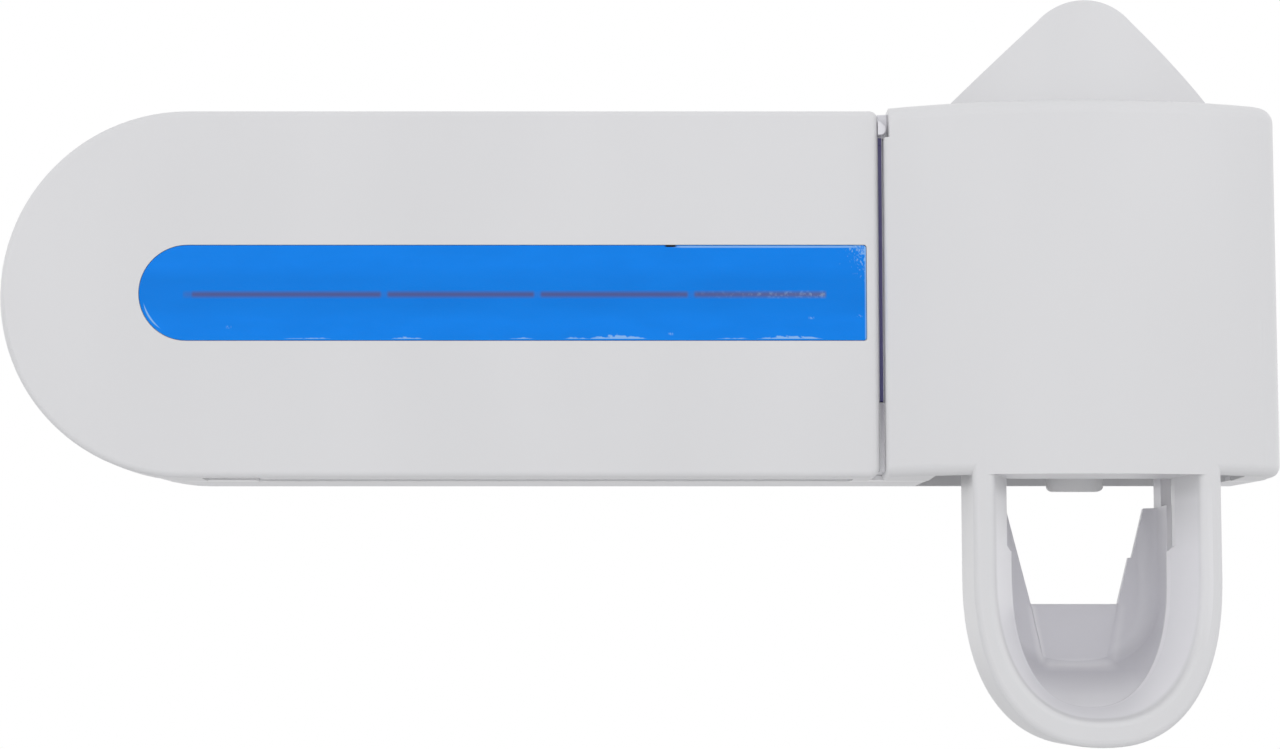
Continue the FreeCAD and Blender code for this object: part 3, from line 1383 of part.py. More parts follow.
def coil_point(turn):
    """Point of the coil's centre line and its direction there, at a count of turns from the front."""
    front, back = spring_ends()
    advance = (back - front) / spring_turns
    angle = 2 * math.pi * turn
    across = math.cos(angle)
    up = math.sin(angle)
    place = V(axis_x + spring_mean_r * across, front + advance * turn, chamber_z + spring_mean_r * up)
    direction = V(-spring_mean_r * up, advance / (2 * math.pi), spring_mean_r * across)
    return place, direction.normalize()


def bend(start, corner, end):
    """Arc that leaves start and reaches end along lines that meet at the corner."""
    middle = (start + end) * 0.5
    half = start.distanceToPoint(end) / 2
    height = corner.distanceToPoint(middle)
    rise = half * (start.distanceToPoint(corner) - half) / height
    top = middle + (corner - middle) * (rise / height)
    return Part.Arc(start, top, end).toShape()


def arc_pair(first, last):
    """Two arcs that join two points of the coil and keep its direction at both."""
    start, leave = first
    end, arrive = last
    chord = end - start
    both = leave + arrive
    a = 2 * leave.dot(arrive) - 2
    b = -2 * chord.dot(both)
    c = chord.dot(chord)
    reach = (-b - math.sqrt(b * b - 4 * a * c)) / (2 * a)
    near = start + leave * reach
    far = end - arrive * reach
    joint = (near + far) * 0.5
    return [bend(start, near, joint), bend(joint, far, end)]


def coil_gap():
    """Least gap of the coil to itself, measured on points along it that are over half a turn apart."""
    count = spring_turns * coil_gap_points
    points = [coil_point(step / coil_gap_points)[0] for step in range(count + 1)]
    apart = coil_gap_points // 2
    nearest = min(first.distanceToPoint(second) for number, first in enumerate(points)
                  for second in points[number + apart:])
    return nearest - spring_wire_r * 2


def return_spring():
    """Compression spring round the plunger's stem, with each end on its seat."""
    halves = spring_turns * 2
    stops = [coil_point(step / 2) for step in range(halves + 1)]
    edges = []
    for first, last in zip(stops, stops[1:]):
        edges += arc_pair(first, last)
    start, direction = stops[0]
    circle = Part.Wire(Part.Circle(start, direction, spring_wire_r).toShape())
    print("coil's least gap to itself", round(coil_gap(), 2), "mm")
    return Part.Wire(edges).makePipeShell([circle], True, False)


def scoop_half_width(y):
    share = (y - scoop_front_y) / (scoop_back_y - scoop_front_y)
    return scoop_front_half_width + (scoop_back_half_width - scoop_front_half_width) * share


def scoop_floor(y):
    share = (y - scoop_front_y) / (scoop_back_y - scoop_front_y)
    return scoop_front_floor_z + (scoop_back_floor_z - scoop_front_floor_z) * share


def scoop_outline(y, grow):
    return loop_outline(scoop_half_width(y) + grow, scoop_floor(y) - grow, scoop_spring_z, cheek_top_z, y)


def scoop():
    """Tapered trough that the brush head pushes, open at the front and at the notch."""
    ends = [scoop_outline(y, lever_wall) for y in (scoop_front_y, scoop_back_y + lever_wall)]
    inner_top = cheek_top_z + overrun
    hollows = [loop_outline(scoop_half_width(y), scoop_floor(y), scoop_spring_z, inner_top, y)
               for y in (scoop_front_y - overrun, scoop_back_y)]
    inner = Part.makeLoft(hollows, True, True)
    inner = rounded(inner, floor_blend_r, [V(axis_x, scoop_back_y, scoop_back_floor_z)])
    body = Part.makeLoft(ends, True, True).cut(inner)
    open_y = scoop_front_y - overrun
    step = [(open_y, inner_top), (cheek_step_y, inner_top), (cheek_step_y, cheek_step_z),
            (scoop_front_y, cheek_nose_z), (open_y, cheek_nose_z)]
    half = scoop_front_half_width + lever_wall + overrun
    body = body.cut(side_prism(step, (axis_x - half, axis_x + half)))
    slope = (notch_top_half_width - notch_bottom_half_width) / (cheek_top_z - notch_bottom_z)
    jog_half = notch_bottom_half_width + slope * (notch_jog_z - notch_bottom_z)
    top_half = notch_top_half_width + slope * overrun
    notch = [
        (-top_half, inner_top), (-notch_bottom_half_width, notch_bottom_z),
        (notch_bottom_half_width, notch_bottom_z), (jog_half, notch_jog_z),
        (jog_half + notch_jog, notch_jog_z), (top_half + notch_jog, inner_top),
    ]
    points = [V(axis_x + across, scoop_back_y - overrun, z) for across, z in notch]
    body = body.cut(outline_prism(points, V(0, lever_wall + overrun * 2, 0)))
    pad = [(-notch_bottom_half_width, notch_bottom_z), (-pad_bottom_half_width, pad_bottom_z),
           (pad_bottom_half_width, pad_bottom_z), (notch_bottom_half_width, notch_bottom_z)]
    points = [V(axis_x + across, scoop_back_y - pad_rise, z) for across, z in pad]
    return joined([body, outline_prism(points, V(0, pad_rise + lever_wall / 2, 0))])


def push_lever():
    """Lever pushed by the brush: scoop below, arms past the pump, bridge in front of it."""
    bridge_front = bridge_back_y - bridge_wall
    arm_end_z = cheek_top_z - overrun
    profile = [
        (pivot_y + arm_head_r, pivot_z), (arm_back_y, arm_end_z), (arm_front_y, arm_end_z),
        (arm_front_y, arm_foot_z), (bridge_front, chamber_z - bridge_half_height),
        (bridge_front, chamber_z + bridge_half_height), (pivot_y - arm_head_r, arm_throat_z),
        (pivot_y - arm_head_r, pivot_z),
    ]
    parts = [scoop()]
    for side in (-1, 1):
        x = sorted((axis_x + side * arm_inner, axis_x + side * (arm_inner + arm_wall)))
        arm = joined([side_prism(profile, x), rod_x(arm_head_r, x, pivot_y, pivot_z)])
        parts.append(arm)
    half = arm_inner + arm_wall
    bridge_z = (chamber_z - bridge_half_height, chamber_z + bridge_half_height)
    parts.append(block((axis_x - half, axis_x + half), (bridge_front, bridge_back_y), bridge_z))
    for edge_z in bridge_z:
        rib_z = (edge_z - bridge_wall / 2, edge_z + bridge_wall / 2)
        rib_y = (bridge_front - bridge_wall, bridge_front + bridge_wall / 2)
        parts.append(block((axis_x - half, axis_x + half), rib_y, rib_z))
    lever = joined(parts)
    hole_r = pivot_pin_r + pivot_clearance
    return lever.cut(rod_x(hole_r, (axis_x - half - overrun, axis_x + half + overrun), pivot_y, pivot_z))


def lever_pins():
    """Two steel pins pressed into the pump body that carry the lever."""
    pins = []
    for side in (-1, 1):
        tip = axis_x + side * (arm_inner + arm_wall)
        x = sorted((tip, tip - side * pivot_pin_length))
        pins.append(rod_x(pivot_pin_r, x, pivot_y, pivot_z))
    return Part.makeCompound(pins)


nodes = {
    "back_case": back_case,
    "lid_shell": lid_shell,
    "window_strip": window_strip,
    "lid_magnet": lid_magnet,
    "reed_switch": reed_switch,
    "lamp_housing": lamp_housing,
    "lamp_reflector": lamp_reflector,
    "uv_lamp_tube": uv_lamp_tube,
    "lamp_end_caps": lamp_end_caps,
    "lamp_holders": lamp_holders,
    "circuit_board": circuit_board,
    "board_components": board_components,
    "power_jack": power_jack,
    "brush_rack": brush_rack,
    "housing_screws": housing_screws,
    "board_screws": board_screws,
    "rack_screws": rack_screws,
    "pump_screws": pump_screws,
    "dispenser_cover": dispenser_cover,
    "tube_collar": tube_collar,
    "pump_body": pump_body,
    "inlet_seal": inlet_seal,
    "inlet_valve": inlet_valve,
    "diaphragm": diaphragm,
    "diaphragm_ring": diaphragm_ring,
    "outlet_nozzle": outlet_nozzle,
    "plunger": plunger,
    "return_spring": return_spring,
    "push_lever": push_lever,
    "lever_pins": lever_pins,
}

os.makedirs("parts", exist_ok=True)
for name, make in nodes.items():
    shape = make()
    shape.exportStep(os.path.join("parts", name + ".step"))
    state = "valid" if shape.isValid() else "INVALID"
    print(name, len(shape.Solids), "solids", round(shape.Volume), "mm3", state)
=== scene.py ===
import json
import math

import bpy
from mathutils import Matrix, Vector


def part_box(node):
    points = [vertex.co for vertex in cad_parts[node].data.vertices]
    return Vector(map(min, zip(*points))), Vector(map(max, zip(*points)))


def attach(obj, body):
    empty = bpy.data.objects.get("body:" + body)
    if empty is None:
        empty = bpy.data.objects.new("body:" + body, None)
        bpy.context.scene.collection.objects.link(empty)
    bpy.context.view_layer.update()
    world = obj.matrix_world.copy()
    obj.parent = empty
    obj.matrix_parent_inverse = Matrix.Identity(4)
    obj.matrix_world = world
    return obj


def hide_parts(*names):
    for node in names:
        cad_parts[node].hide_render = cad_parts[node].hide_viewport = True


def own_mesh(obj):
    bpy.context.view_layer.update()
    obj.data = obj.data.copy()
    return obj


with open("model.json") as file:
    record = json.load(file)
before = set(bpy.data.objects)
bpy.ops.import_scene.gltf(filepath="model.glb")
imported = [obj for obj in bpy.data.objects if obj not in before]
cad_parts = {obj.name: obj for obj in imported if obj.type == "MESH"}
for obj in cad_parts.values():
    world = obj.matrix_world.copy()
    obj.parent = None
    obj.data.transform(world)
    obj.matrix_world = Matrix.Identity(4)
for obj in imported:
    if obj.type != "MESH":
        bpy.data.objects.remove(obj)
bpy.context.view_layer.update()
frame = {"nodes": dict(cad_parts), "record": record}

nodes = frame["nodes"]


# Node trees

class Graph:
    """The node tree of a material or of the world, with short ways to add and join nodes."""

    def __init__(self, owner, output_kind):
        owner.use_nodes = True
        self.owner = owner
        self.tree = owner.node_tree
        self.tree.nodes.clear()
        self.output = self.add(output_kind)
        self.place = None

    def add(self, kind, **settings):
        node = self.tree.nodes.new(kind)
        for key, value in settings.items():
            setattr(node, key, value)
        return node

    def feed(self, value, socket):
        """Set a number or a colour on the socket, or join another node's output to it."""
        if isinstance(value, (int, float)):
            socket.default_value = value
        elif isinstance(value, tuple):
            socket.default_value = (*value, 1)
        else:
            self.tree.links.new(value, socket)

    def coords(self, kind="Object"):
        """Place on a piece, in metres in the row frame, or the world's direction."""
        if self.place is None:
            self.place = self.add("ShaderNodeTexCoord").outputs[kind]
        return self.place

    def axes(self, kind="Object"):
        split = self.add("ShaderNodeSeparateXYZ")
        self.feed(self.coords(kind), split.inputs[0])
        return split.outputs["X"], split.outputs["Y"], split.outputs["Z"]

    def noise(self, scale, detail=3.0, stretch=(1, 1, 1)):
        mapping = self.add("ShaderNodeMapping")
        mapping.inputs["Scale"].default_value = stretch
        self.feed(self.coords(), mapping.inputs["Vector"])
        node = self.add("ShaderNodeTexNoise")
        self.feed(scale, node.inputs["Scale"])
        self.feed(detail, node.inputs["Detail"])
        self.feed(mapping.outputs[0], node.inputs["Vector"])
        return node.outputs["Fac"]

    def math(self, operation, first, second=0.0, clamp=False):
        node = self.add("ShaderNodeMath", operation=operation, use_clamp=clamp)
        self.feed(first, node.inputs[0])
        self.feed(second, node.inputs[1])
        return node.outputs[0]

    def fold(self, operation, values):
        """Run the values one after the other through one kind of sum."""
        total, *others = values
        for value in others:
            total = self.math(operation, total, value)
        return total

    def times(self, *values):
        return self.fold("MULTIPLY", values)

    def most(self, *values):
        return self.fold("MAXIMUM", values)

    def plus(self, first, second, clamp=False):
        return self.math("ADD", first, second, clamp)

    def minus(self, first, second):
        return self.math("SUBTRACT", first, second)

    def above(self, value, limit):
        return self.math("GREATER_THAN", value, limit)

    def below(self, value, limit):
        return self.math("LESS_THAN", value, limit)

    def distance(self, first, second):
        return self.math("ABSOLUTE", self.minus(first, second))

    def rise(self, high, low, gain):
        """Nothing until high passes low, then growing with the gain up to one."""
        return self.math("MULTIPLY", self.minus(high, low), gain, True)

    def band(self, value, centre, half, soft):
        """One within half of the centre, falling to nothing over a soft edge."""
        share = self.times(self.minus(half, self.distance(value, centre)), 1 / soft)
        return self.plus(share, 0.5, True)

    def hump(self, value, centre, half, height):
        """A low rounded hump along an axis."""
        away = self.times(self.minus(value, centre), 1 / half)
        return self.times(self.most(self.minus(1.0, self.times(away, away)), 0.0), height)

    def spread(self, factor, low, high, start=0.35, end=0.65):
        """Colour between low and high as the factor goes from start to end."""
        ramp = self.add("ShaderNodeValToRGB")
        first, last = ramp.color_ramp.elements
        first.position, last.position = start, end
        first.color, last.color = (*low, 1), (*high, 1)
        self.feed(factor, ramp.inputs[0])
        return ramp.outputs[0]

    def mix_colour(self, factor, first, second):
        node = self.add("ShaderNodeMix", data_type="RGBA")
        for value, socket in ((factor, 0), (first, 6), (second, 7)):
            self.feed(value, node.inputs[socket])
        return node.outputs[2]

    def bump(self, height, strength, distance):
        node = self.add("ShaderNodeBump")
        for value, socket in ((strength, "Strength"), (distance, "Distance"), (height, "Height")):
            self.feed(value, node.inputs[socket])
        return node.outputs[0]

    def surface(self, colour, roughness, metallic=0.0, normal=None, **extra):
        shader = self.add("ShaderNodeBsdfPrincipled")
        self.feed(colour, shader.inputs["Base Color"])
        self.feed(roughness, shader.inputs["Roughness"])
        self.feed(metallic, shader.inputs["Metallic"])
        for key, value in extra.items():
            self.feed(value, shader.inputs[key.replace("_", " ")])
        if normal is not None:
            self.feed(normal, shader.inputs["Normal"])
        return shader.outputs[0]

    def finish(self, shader):
        self.feed(shader, self.output.inputs["Surface"])
        return self.owner


def material_graph(name):
    return Graph(bpy.data.materials.new(name), "ShaderNodeOutputMaterial")


# Kinds of material

FLOW_NOISE = (22.0, 2.0, (1, 1, 0.4))
GRAIN_NOISE = (1400.0, 2.0)
GRAIN_BUMP = (0.12, 0.00002)
METAL_NOISE = (900.0, 4.0)
METAL_SPREAD = (0.3, 0.7)
METAL_DARK_SHARE = 0.86
METAL_BUMP = (0.15, 0.00003)
GLASS_SCALE = 120.0
GLASS_DARK_SHARE = 0.97
GLASS_ROUGHNESS = 0.05
GLASS_IOR = 1.45


def moulded(name, colour, roughness, vary=0.015, painted_light=None, pale=None, **extra):
    """Moulded plastic or rubber: faint flow tone and a fine grain, and pale painted light where a builder
    of it is given, standing in for highlights and lifted shade.
    """
    graph = material_graph(name)
    low = tuple(c * (1 - vary) for c in colour)
    high = tuple(min(1, c * (1 + vary)) for c in colour)
    tone = graph.spread(graph.noise(*FLOW_NOISE), low, high)
    if painted_light is not None:
        tone = graph.mix_colour(painted_light(graph), tone, pale)
    normal = graph.bump(graph.noise(*GRAIN_NOISE), *GRAIN_BUMP)
    return graph.finish(graph.surface(tone, roughness, normal=normal, **extra))


def metal(name, colour, roughness, stretch=(1, 1, 1)):
    """Metal with fine drawing or turning marks."""
    graph = material_graph(name)
    marks = graph.noise(*METAL_NOISE, stretch)
    tone = graph.spread(marks, tuple(c * METAL_DARK_SHARE for c in colour), colour, *METAL_SPREAD)
    normal = graph.bump(marks, *METAL_BUMP)
    return graph.finish(graph.surface(tone, roughness, 1.0, normal))


def clear(name, colour):
    """Clear glass with a faint tint."""
    graph = material_graph(name)
    tone = graph.spread(graph.noise(GLASS_SCALE), tuple(c * GLASS_DARK_SHARE for c in colour), colour)
    return graph.finish(graph.surface(tone, GLASS_ROUGHNESS, Transmission_Weight=1.0, IOR=GLASS_IOR))


BOARD_NOISE = (700.0, 2.0, (1, 1, 6))
BOARD_GREENS = ((0.02, 0.16, 0.07), (0.03, 0.24, 0.10))
BOARD_ROUGHNESS = 0.35


def board_green():
    """Lacquered circuit board with its weave."""
    graph = material_graph("circuit board")
    tone = graph.spread(graph.noise(*BOARD_NOISE), *BOARD_GREENS)
    return graph.finish(graph.surface(tone, BOARD_ROUGHNESS))


# Window film over the lid's slit, whose dark view into the cabin is painted shade. Places and sizes are in
# metres in the row frame. A band is its centre, where that is fixed, its half width and the width of its
# soft edge.

SLIT_ENDS = (-0.0638, 0.0682)
SLIT_DROP = 0.00035
SLIT_TALL = (0.00056, 0.0008)
SLIT_END_SOFT = 0.0006
PALE_END_IN = 0.0008
PALE_END = (0.0009, 0.0005)
PALE_END_SHARE = 0.6
SLIT_TIES = (-0.0226, 0.0089, 0.0405)
TIE_ACROSS = (0.0007, 0.0006)
TIE_SHARE = 0.8


def slit_mask(graph, x, z, middle):
    """The slit behind the film, painted as the dark shade of the cabin seen through it, with its ties and
    its paler left end.
    """
    start, end = SLIT_ENDS
    tall = graph.band(z, middle - SLIT_DROP, *SLIT_TALL)
    long = graph.band(x, (start + end) / 2, (end - start) / 2, SLIT_END_SOFT)
    ties = [graph.times(graph.band(x, start + PALE_END_IN, *PALE_END), PALE_END_SHARE)]
    for place in SLIT_TIES:
        ties.append(graph.times(graph.band(x, place, *TIE_ACROSS), TIE_SHARE))
    return graph.times(tall, long, graph.minus(1.0, graph.most(*ties)))


# Humps of trapped air along the film's foot: centre along X, half length and height
FOOT_GLINTS = (
    (-0.0383, 0.0055, 0.0004),
    (-0.0179, 0.0035, 0.0007),
    (0.0056, 0.0030, 0.0004),
    (0.0170, 0.0030, 0.0005),
    (0.0255, 0.0062, 0.0010),
    (0.0490, 0.0036, 0.0004),
    (0.0607, 0.0072, 0.0009),
)
FOOT_LIFT = 0.0003
FOOT_GAIN = 4000.0
AIR_NOISE = (1300.0, 5.0, (0.6, 1, 1))
AIR_GAIN = 2.4
AIR_LOSS = 0.50


def foot_glints(graph, x, z, foot):
    """Trapped air in low ragged humps along the film's lower edge."""
    ragged = graph.plus(graph.times(graph.noise(*AIR_NOISE), AIR_GAIN), -AIR_LOSS)
    reach = graph.times(graph.most(0.0, *(graph.hump(x, *hump) for hump in FOOT_GLINTS)), ragged)
    lift = graph.minus(z, foot + FOOT_LIFT)
    return graph.times(graph.rise(reach, lift, FOOT_GAIN), graph.above(lift, 0.0))


RIM_RADIUS = 0.0091
RIM_TURN = (math.radians(-146), math.radians(22), 0.00022)
RIM_GAIN = 12000.0


def rim_glint(graph, x, z, centre):
    """Thin pale arc along the film's round end: a painted highlight."""
    across = graph.minus(x, centre[0])
    up = graph.minus(z, centre[1])
    radius = graph.math("SQRT", graph.plus(graph.times(across, across), graph.times(up, up)))
    width = graph.hump(graph.math("ARCTAN2", up, across), *RIM_TURN)
    return graph.rise(width, graph.distance(radius, RIM_RADIUS), RIM_GAIN)


SCUFF_NOISE = (2300.0, 5.0, (1, 1, 0.6))
CORNER_LEAN = (1.2, 0.85)
CORNER_FADE = 34.0
CORNER_START = 0.37
CORNER_GAIN = 6.0
TOP_LINE_LONG = (0.0560, 0.0185, 0.002)
TOP_LINE_TALL = (0.0003, 0.00016, 0.0002)
SIDE_LINE = (0.0001, 0.00018, 0.0002)
SIDE_LINE_SHARE = 0.8
FILM_SPECKS = ((-0.0545, 0.0118), (0.0364, 0.0104), (0.0652, 0.0137), (0.0751, 0.0141))
SPECK_LONG = (0.0004, 0.0006)
SPECK_TALL = (0.00015, 0.0004)
SPECK_START = 0.44
SPECK_GAIN = 9.0


def edge_scuffs(graph, x, z, right, top):
    """Scuffs in the film's top right corner, thin lines on its edges and a few specks."""
    scuffs = graph.noise(*SCUFF_NOISE)
    side = graph.minus(right, x)
    drop = graph.minus(top, z)
    away = graph.plus(graph.times(side, CORNER_LEAN[0]), graph.times(drop, CORNER_LEAN[1]))
    corner = graph.rise(scuffs, graph.plus(graph.times(away, CORNER_FADE), CORNER_START), CORNER_GAIN)
    top_line = graph.times(graph.band(x, *TOP_LINE_LONG), graph.band(drop, *TOP_LINE_TALL))
    side_line = graph.times(graph.band(side, *SIDE_LINE), SIDE_LINE_SHARE)
    broken = graph.rise(scuffs, SPECK_START, SPECK_GAIN)
    marks = [corner, top_line, side_line]
    for speck_x, speck_z in FILM_SPECKS:
        near = graph.times(graph.band(x, speck_x, *SPECK_LONG), graph.band(z, speck_z, *SPECK_TALL))
        marks.append(graph.times(near, broken))
    return graph.most(*marks)


FILM_DEEP = ((0.0020, 0.214, 0.800), (0.0026, 0.227, 0.838))
FILM_DEEP_NOISE = (60.0, 3.0, (1, 1, 3))
FILM_PALE = ((0.0025, 0.231, 0.862), (0.0032, 0.243, 0.900))
FILM_PALE_NOISE = (90.0, 3.0, (1, 1, 3))
FILM_DEEP_TALL = (0.0042, 0.003)
# The slit's dark colour is painted shade of the cabin seen through it; towards its right end it turns
# lighter and speckled.
SLIT_SHADE = (0.086, 0.115, 0.325)
SLIT_LIGHTER = (0.27, 0.36, 0.56)
LIGHTER_START = 0.036
LIGHTER_GAIN = 30.0
LIGHTER_NOISE = (1400.0, 4.0)
LIGHTER_SPECK_START = 0.5
LIGHTER_SPECK_GAIN = 5.0
LIGHTER_SHARES = (0.85, 0.15)
# Pale colour of the trapped air, scuffs and specks, and of the painted highlight along the film's round
# end.
GLINT = (0.42, 0.68, 0.93)
GLINT_SHARE = 0.62
GLINT_BUMP = (0.2, 0.00005)
NICK = (0.01, 0.01, 0.012)
NICK_DEPTH = 0.00035
NICK_LONG = (0.0363, 0.0011, 0.0006)
FILM_ROUGHNESS = 0.18
FILM_IOR = 1.5
FILM_SPECULAR = 0.10


def window_film():
    """Glossy blue film over the lid's slit, with the slit painted in as dark shade, trapped air, scuffs, a
    painted highlight along its round end and a dark nick in its top edge.
    """
    low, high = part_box("window_strip")
    middle = (low[2] + high[2]) / 2
    graph = material_graph("tinted window")
    x, _, z = graph.axes()
    deep = graph.spread(graph.noise(*FILM_DEEP_NOISE), *FILM_DEEP)
    pale = graph.spread(graph.noise(*FILM_PALE_NOISE), *FILM_PALE)
    film = graph.mix_colour(graph.band(z, middle, *FILM_DEEP_TALL), pale, deep)

    specks = graph.rise(graph.noise(*LIGHTER_NOISE), LIGHTER_SPECK_START, LIGHTER_SPECK_GAIN)
    patches = graph.plus(graph.times(specks, LIGHTER_SHARES[0]), LIGHTER_SHARES[1])
    lighter_right = graph.times(graph.rise(x, LIGHTER_START, LIGHTER_GAIN), patches)
    shade = graph.mix_colour(lighter_right, SLIT_SHADE, SLIT_LIGHTER)
    colour = graph.mix_colour(slit_mask(graph, x, z, middle), film, shade)

    round_centre = (low[0] + (high[2] - low[2]) / 2, middle)
    marks = graph.most(foot_glints(graph, x, z, low[2]), rim_glint(graph, x, z, round_centre),
                       edge_scuffs(graph, x, z, high[0], high[2]))
    glints = graph.times(marks, GLINT_SHARE)
    colour = graph.mix_colour(glints, colour, GLINT)
    nick = graph.times(graph.above(z, high[2] - NICK_DEPTH), graph.band(x, *NICK_LONG))
    colour = graph.mix_colour(nick, colour, NICK)
    normal = graph.bump(glints, *GLINT_BUMP)
    return graph.finish(graph.surface(colour, FILM_ROUGHNESS, normal=normal, IOR=FILM_IOR,
                                      Specular_IOR_Level=FILM_SPECULAR))


# Painted light on the white shells, pale bands that stand in for highlights or lift shade, with bands as
# above

SCOOP_SHIFT = 0.0006
PAD_FOOT = -0.0572
PAD_LINE_TALL = (0.0008, 0.0014)
PAD_LINE_LONG = (0.0070, 0.0022)
FLOOR_DROP = 0.0012
FLOOR_GAIN = 200.0
FLOOR_SHARE = 0.9
PAD_SIDE_SLANT = 0.175
PAD_SIDE_AWAY = 0.0097
PAD_SIDE_HEIGHT = -0.0446
PAD_SIDE_ACROSS = (0.0006, 0.0012)
PAD_SIDE_TALL = (-0.0506, 0.0060, 0.0016)
PAD_SIDE_SHARES = (0.5, 0.4)
FLANGE_AWAY = 0.0168
FLANGE_GAIN = 1200.0
FLANGE_TALL = (-0.0255, 0.0090, 0.0060)


def scoop_painted_light(graph):
    """Painted light on the lever: a painted highlight along the foot of its pad, and shade painted lighter
    along the pad's sides (more on the left), on the floor below the pad and on the outer flanges.
    """
    x, _, z = graph.axes()
    low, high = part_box("push_lever")
    middle = (low[0] + high[0]) / 2 + SCOOP_SHIFT
    line = graph.times(graph.band(z, PAD_FOOT, *PAD_LINE_TALL), graph.band(x, middle, *PAD_LINE_LONG))
    floor = graph.times(graph.rise(PAD_FOOT - FLOOR_DROP, z, FLOOR_GAIN), FLOOR_SHARE)
    away = graph.distance(x, middle)
    slant = graph.plus(graph.times(z, PAD_SIDE_SLANT), PAD_SIDE_AWAY - PAD_SIDE_HEIGHT * PAD_SIDE_SLANT)
    sides = graph.times(graph.band(away, slant, *PAD_SIDE_ACROSS), graph.band(z, *PAD_SIDE_TALL))
    left_share, both_share = PAD_SIDE_SHARES
    sides = graph.times(sides, graph.plus(graph.times(graph.below(x, middle), left_share), both_share))
    flange = graph.times(graph.rise(away, FLANGE_AWAY, FLANGE_GAIN), graph.band(z, *FLANGE_TALL))
    return graph.most(line, floor, sides, flange)


EAR_LONG = (0.0808, 0.0032, 0.0004)
EAR_FOOT = 0.0488
EAR_BACK = -0.0325
EDGE_BACK = -0.0262
EDGE_TOP = -0.0180


def case_painted_light(graph):
    """Painted light on the case: shade painted lighter on the ear that carries the lid's pin and on the
    lower front edge of the case.
    """
    x, y, z = graph.axes()
    ear = graph.times(graph.band(x, *EAR_LONG), graph.above(z, EAR_FOOT), graph.below(y, EAR_BACK))
    edge = graph.times(graph.below(y, EDGE_BACK), graph.below(z, EDGE_TOP))
    return graph.most(ear, edge)


LOOP_HALF_WIDTH = 0.0230
LOOP_TURN = -0.0385
LOOP_DEPTH = 0.0325
LOOP_POWER = 2.35


def loop_mouth(graph, x, z, middle):
    """One inside a U-shaped curve that runs within the guard loop's wall."""
    across = graph.times(graph.distance(x, middle), 1 / LOOP_HALF_WIDTH)
    down = graph.most(graph.times(graph.minus(LOOP_TURN, z), 1 / LOOP_DEPTH), 0.0)
    total = graph.plus(graph.math("POWER", across, LOOP_POWER), graph.math("POWER", down, LOOP_POWER))
    return graph.below(total, 1.0)


LIP_EDGE = -0.0401
LIP_DEEP = (0.0008, 0.0004)
FUNNEL_HALF_DEPTH = 0.006
FUNNEL_SOFT = 0.002
FUNNEL_SHARE = 0.85
LIP_TOP = -0.0215
LIP_TOP_GAIN = 400.0
LIP_FADE_TOP = -0.0255
LIP_FADE_GAIN = 110.0
LIP_SHARES = (0.6, 0.4)


def lip_painted_light(graph):
    """Painted highlight along the edge of the guard loop's inner lip, and painted light on the funnel in
    front of it, weaker higher up and none above the cover's bottom.
    """
    x, y, z = graph.axes()
    low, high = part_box("push_lever")
    middle = (low[0] + high[0]) / 2
    edge = graph.band(y, LIP_EDGE, *LIP_DEEP)
    funnel = graph.band(y, LIP_EDGE - FUNNEL_HALF_DEPTH, FUNNEL_HALF_DEPTH, FUNNEL_SOFT)
    funnel = graph.times(funnel, FUNNEL_SHARE)
    lower, all_over = LIP_SHARES
    share = graph.plus(graph.times(graph.rise(LIP_FADE_TOP, z, LIP_FADE_GAIN), lower), all_over)
    below = graph.rise(LIP_TOP, z, LIP_TOP_GAIN)
    return graph.times(graph.most(edge, funnel), loop_mouth(graph, x, z, middle), below, share)


# Materials of the CAD nodes. A finish has its name and colour, then its roughness unless it is glass, and
# some add the share that their tone varies by or how their marks are stretched.

SHELL_WHITE = (0.76, 0.76, 0.768)
SHELL_ROUGHNESS = 0.34
MARKED_VARY = 0.013

finishes = {
    "white_shell": moulded("white shell", SHELL_WHITE, SHELL_ROUGHNESS),
    "window_blue": window_film(),
    "inner_white": moulded("inner white", (0.76, 0.77, 0.78), 0.5),
    "reflector": metal("bright sheet", (0.88, 0.88, 0.9), 0.12, (1, 8, 8)),
    "lamp_glass": clear("lamp glass", (0.92, 0.94, 1.0)),
    "cap_metal": metal("pressed cap", (0.78, 0.78, 0.79), 0.3),
    "holder_plastic": moulded("lamp holder plastic", (0.72, 0.72, 0.71), 0.5),
    "board": board_green(),
    "components": moulded("dark component plastic", (0.035, 0.035, 0.04), 0.45, 0.12),
    "screw_steel": metal("plated screw steel", (0.66, 0.66, 0.68), 0.28),
    "spring_steel": metal("drawn spring steel", (0.62, 0.62, 0.63), 0.25, (6, 1, 1)),
    "magnet": metal("nickel plating", (0.70, 0.70, 0.69), 0.2),
    "reed_glass": clear("reed switch glass", (0.80, 0.92, 0.86)),
    "pump_plastic": moulded("pump plastic", (0.66, 0.67, 0.68), 0.48),
    "seal_rubber": moulded("seal rubber", (0.055, 0.055, 0.058), 0.7, 0.1),
    "silicone": moulded("pale silicone", (0.60, 0.60, 0.58), 0.4, Subsurface_Weight=0.15),
    "nozzle_grey": moulded("grey nozzle silicone", (0.87, 0.87, 0.865), 0.5),
}
for entry in frame["record"]["subparts"]:
    shown = nodes[entry["node"]]
    shown.data.materials.clear()
    shown.data.materials.append(finishes[entry["material_slot"]])

# Shells with painted light of their own, pale bands for highlights and lifted shade: node, material name,
# white, pale colour and what builds the painted light
light_painted_shells = (
    ("push_lever", "lever white", (0.838, 0.831, 0.868), (0.985, 0.978, 1.0), scoop_painted_light),
    ("back_case", "case white", SHELL_WHITE, (0.97, 0.97, 0.98), case_painted_light),
    ("dispenser_cover", "cover white", SHELL_WHITE, (0.98, 0.975, 1.0), lip_painted_light),
)
for node, name, white, pale, painted_light in light_painted_shells:
    nodes[node].data.materials[0] = moulded(name, white, SHELL_ROUGHNESS, MARKED_VARY, painted_light, pale)


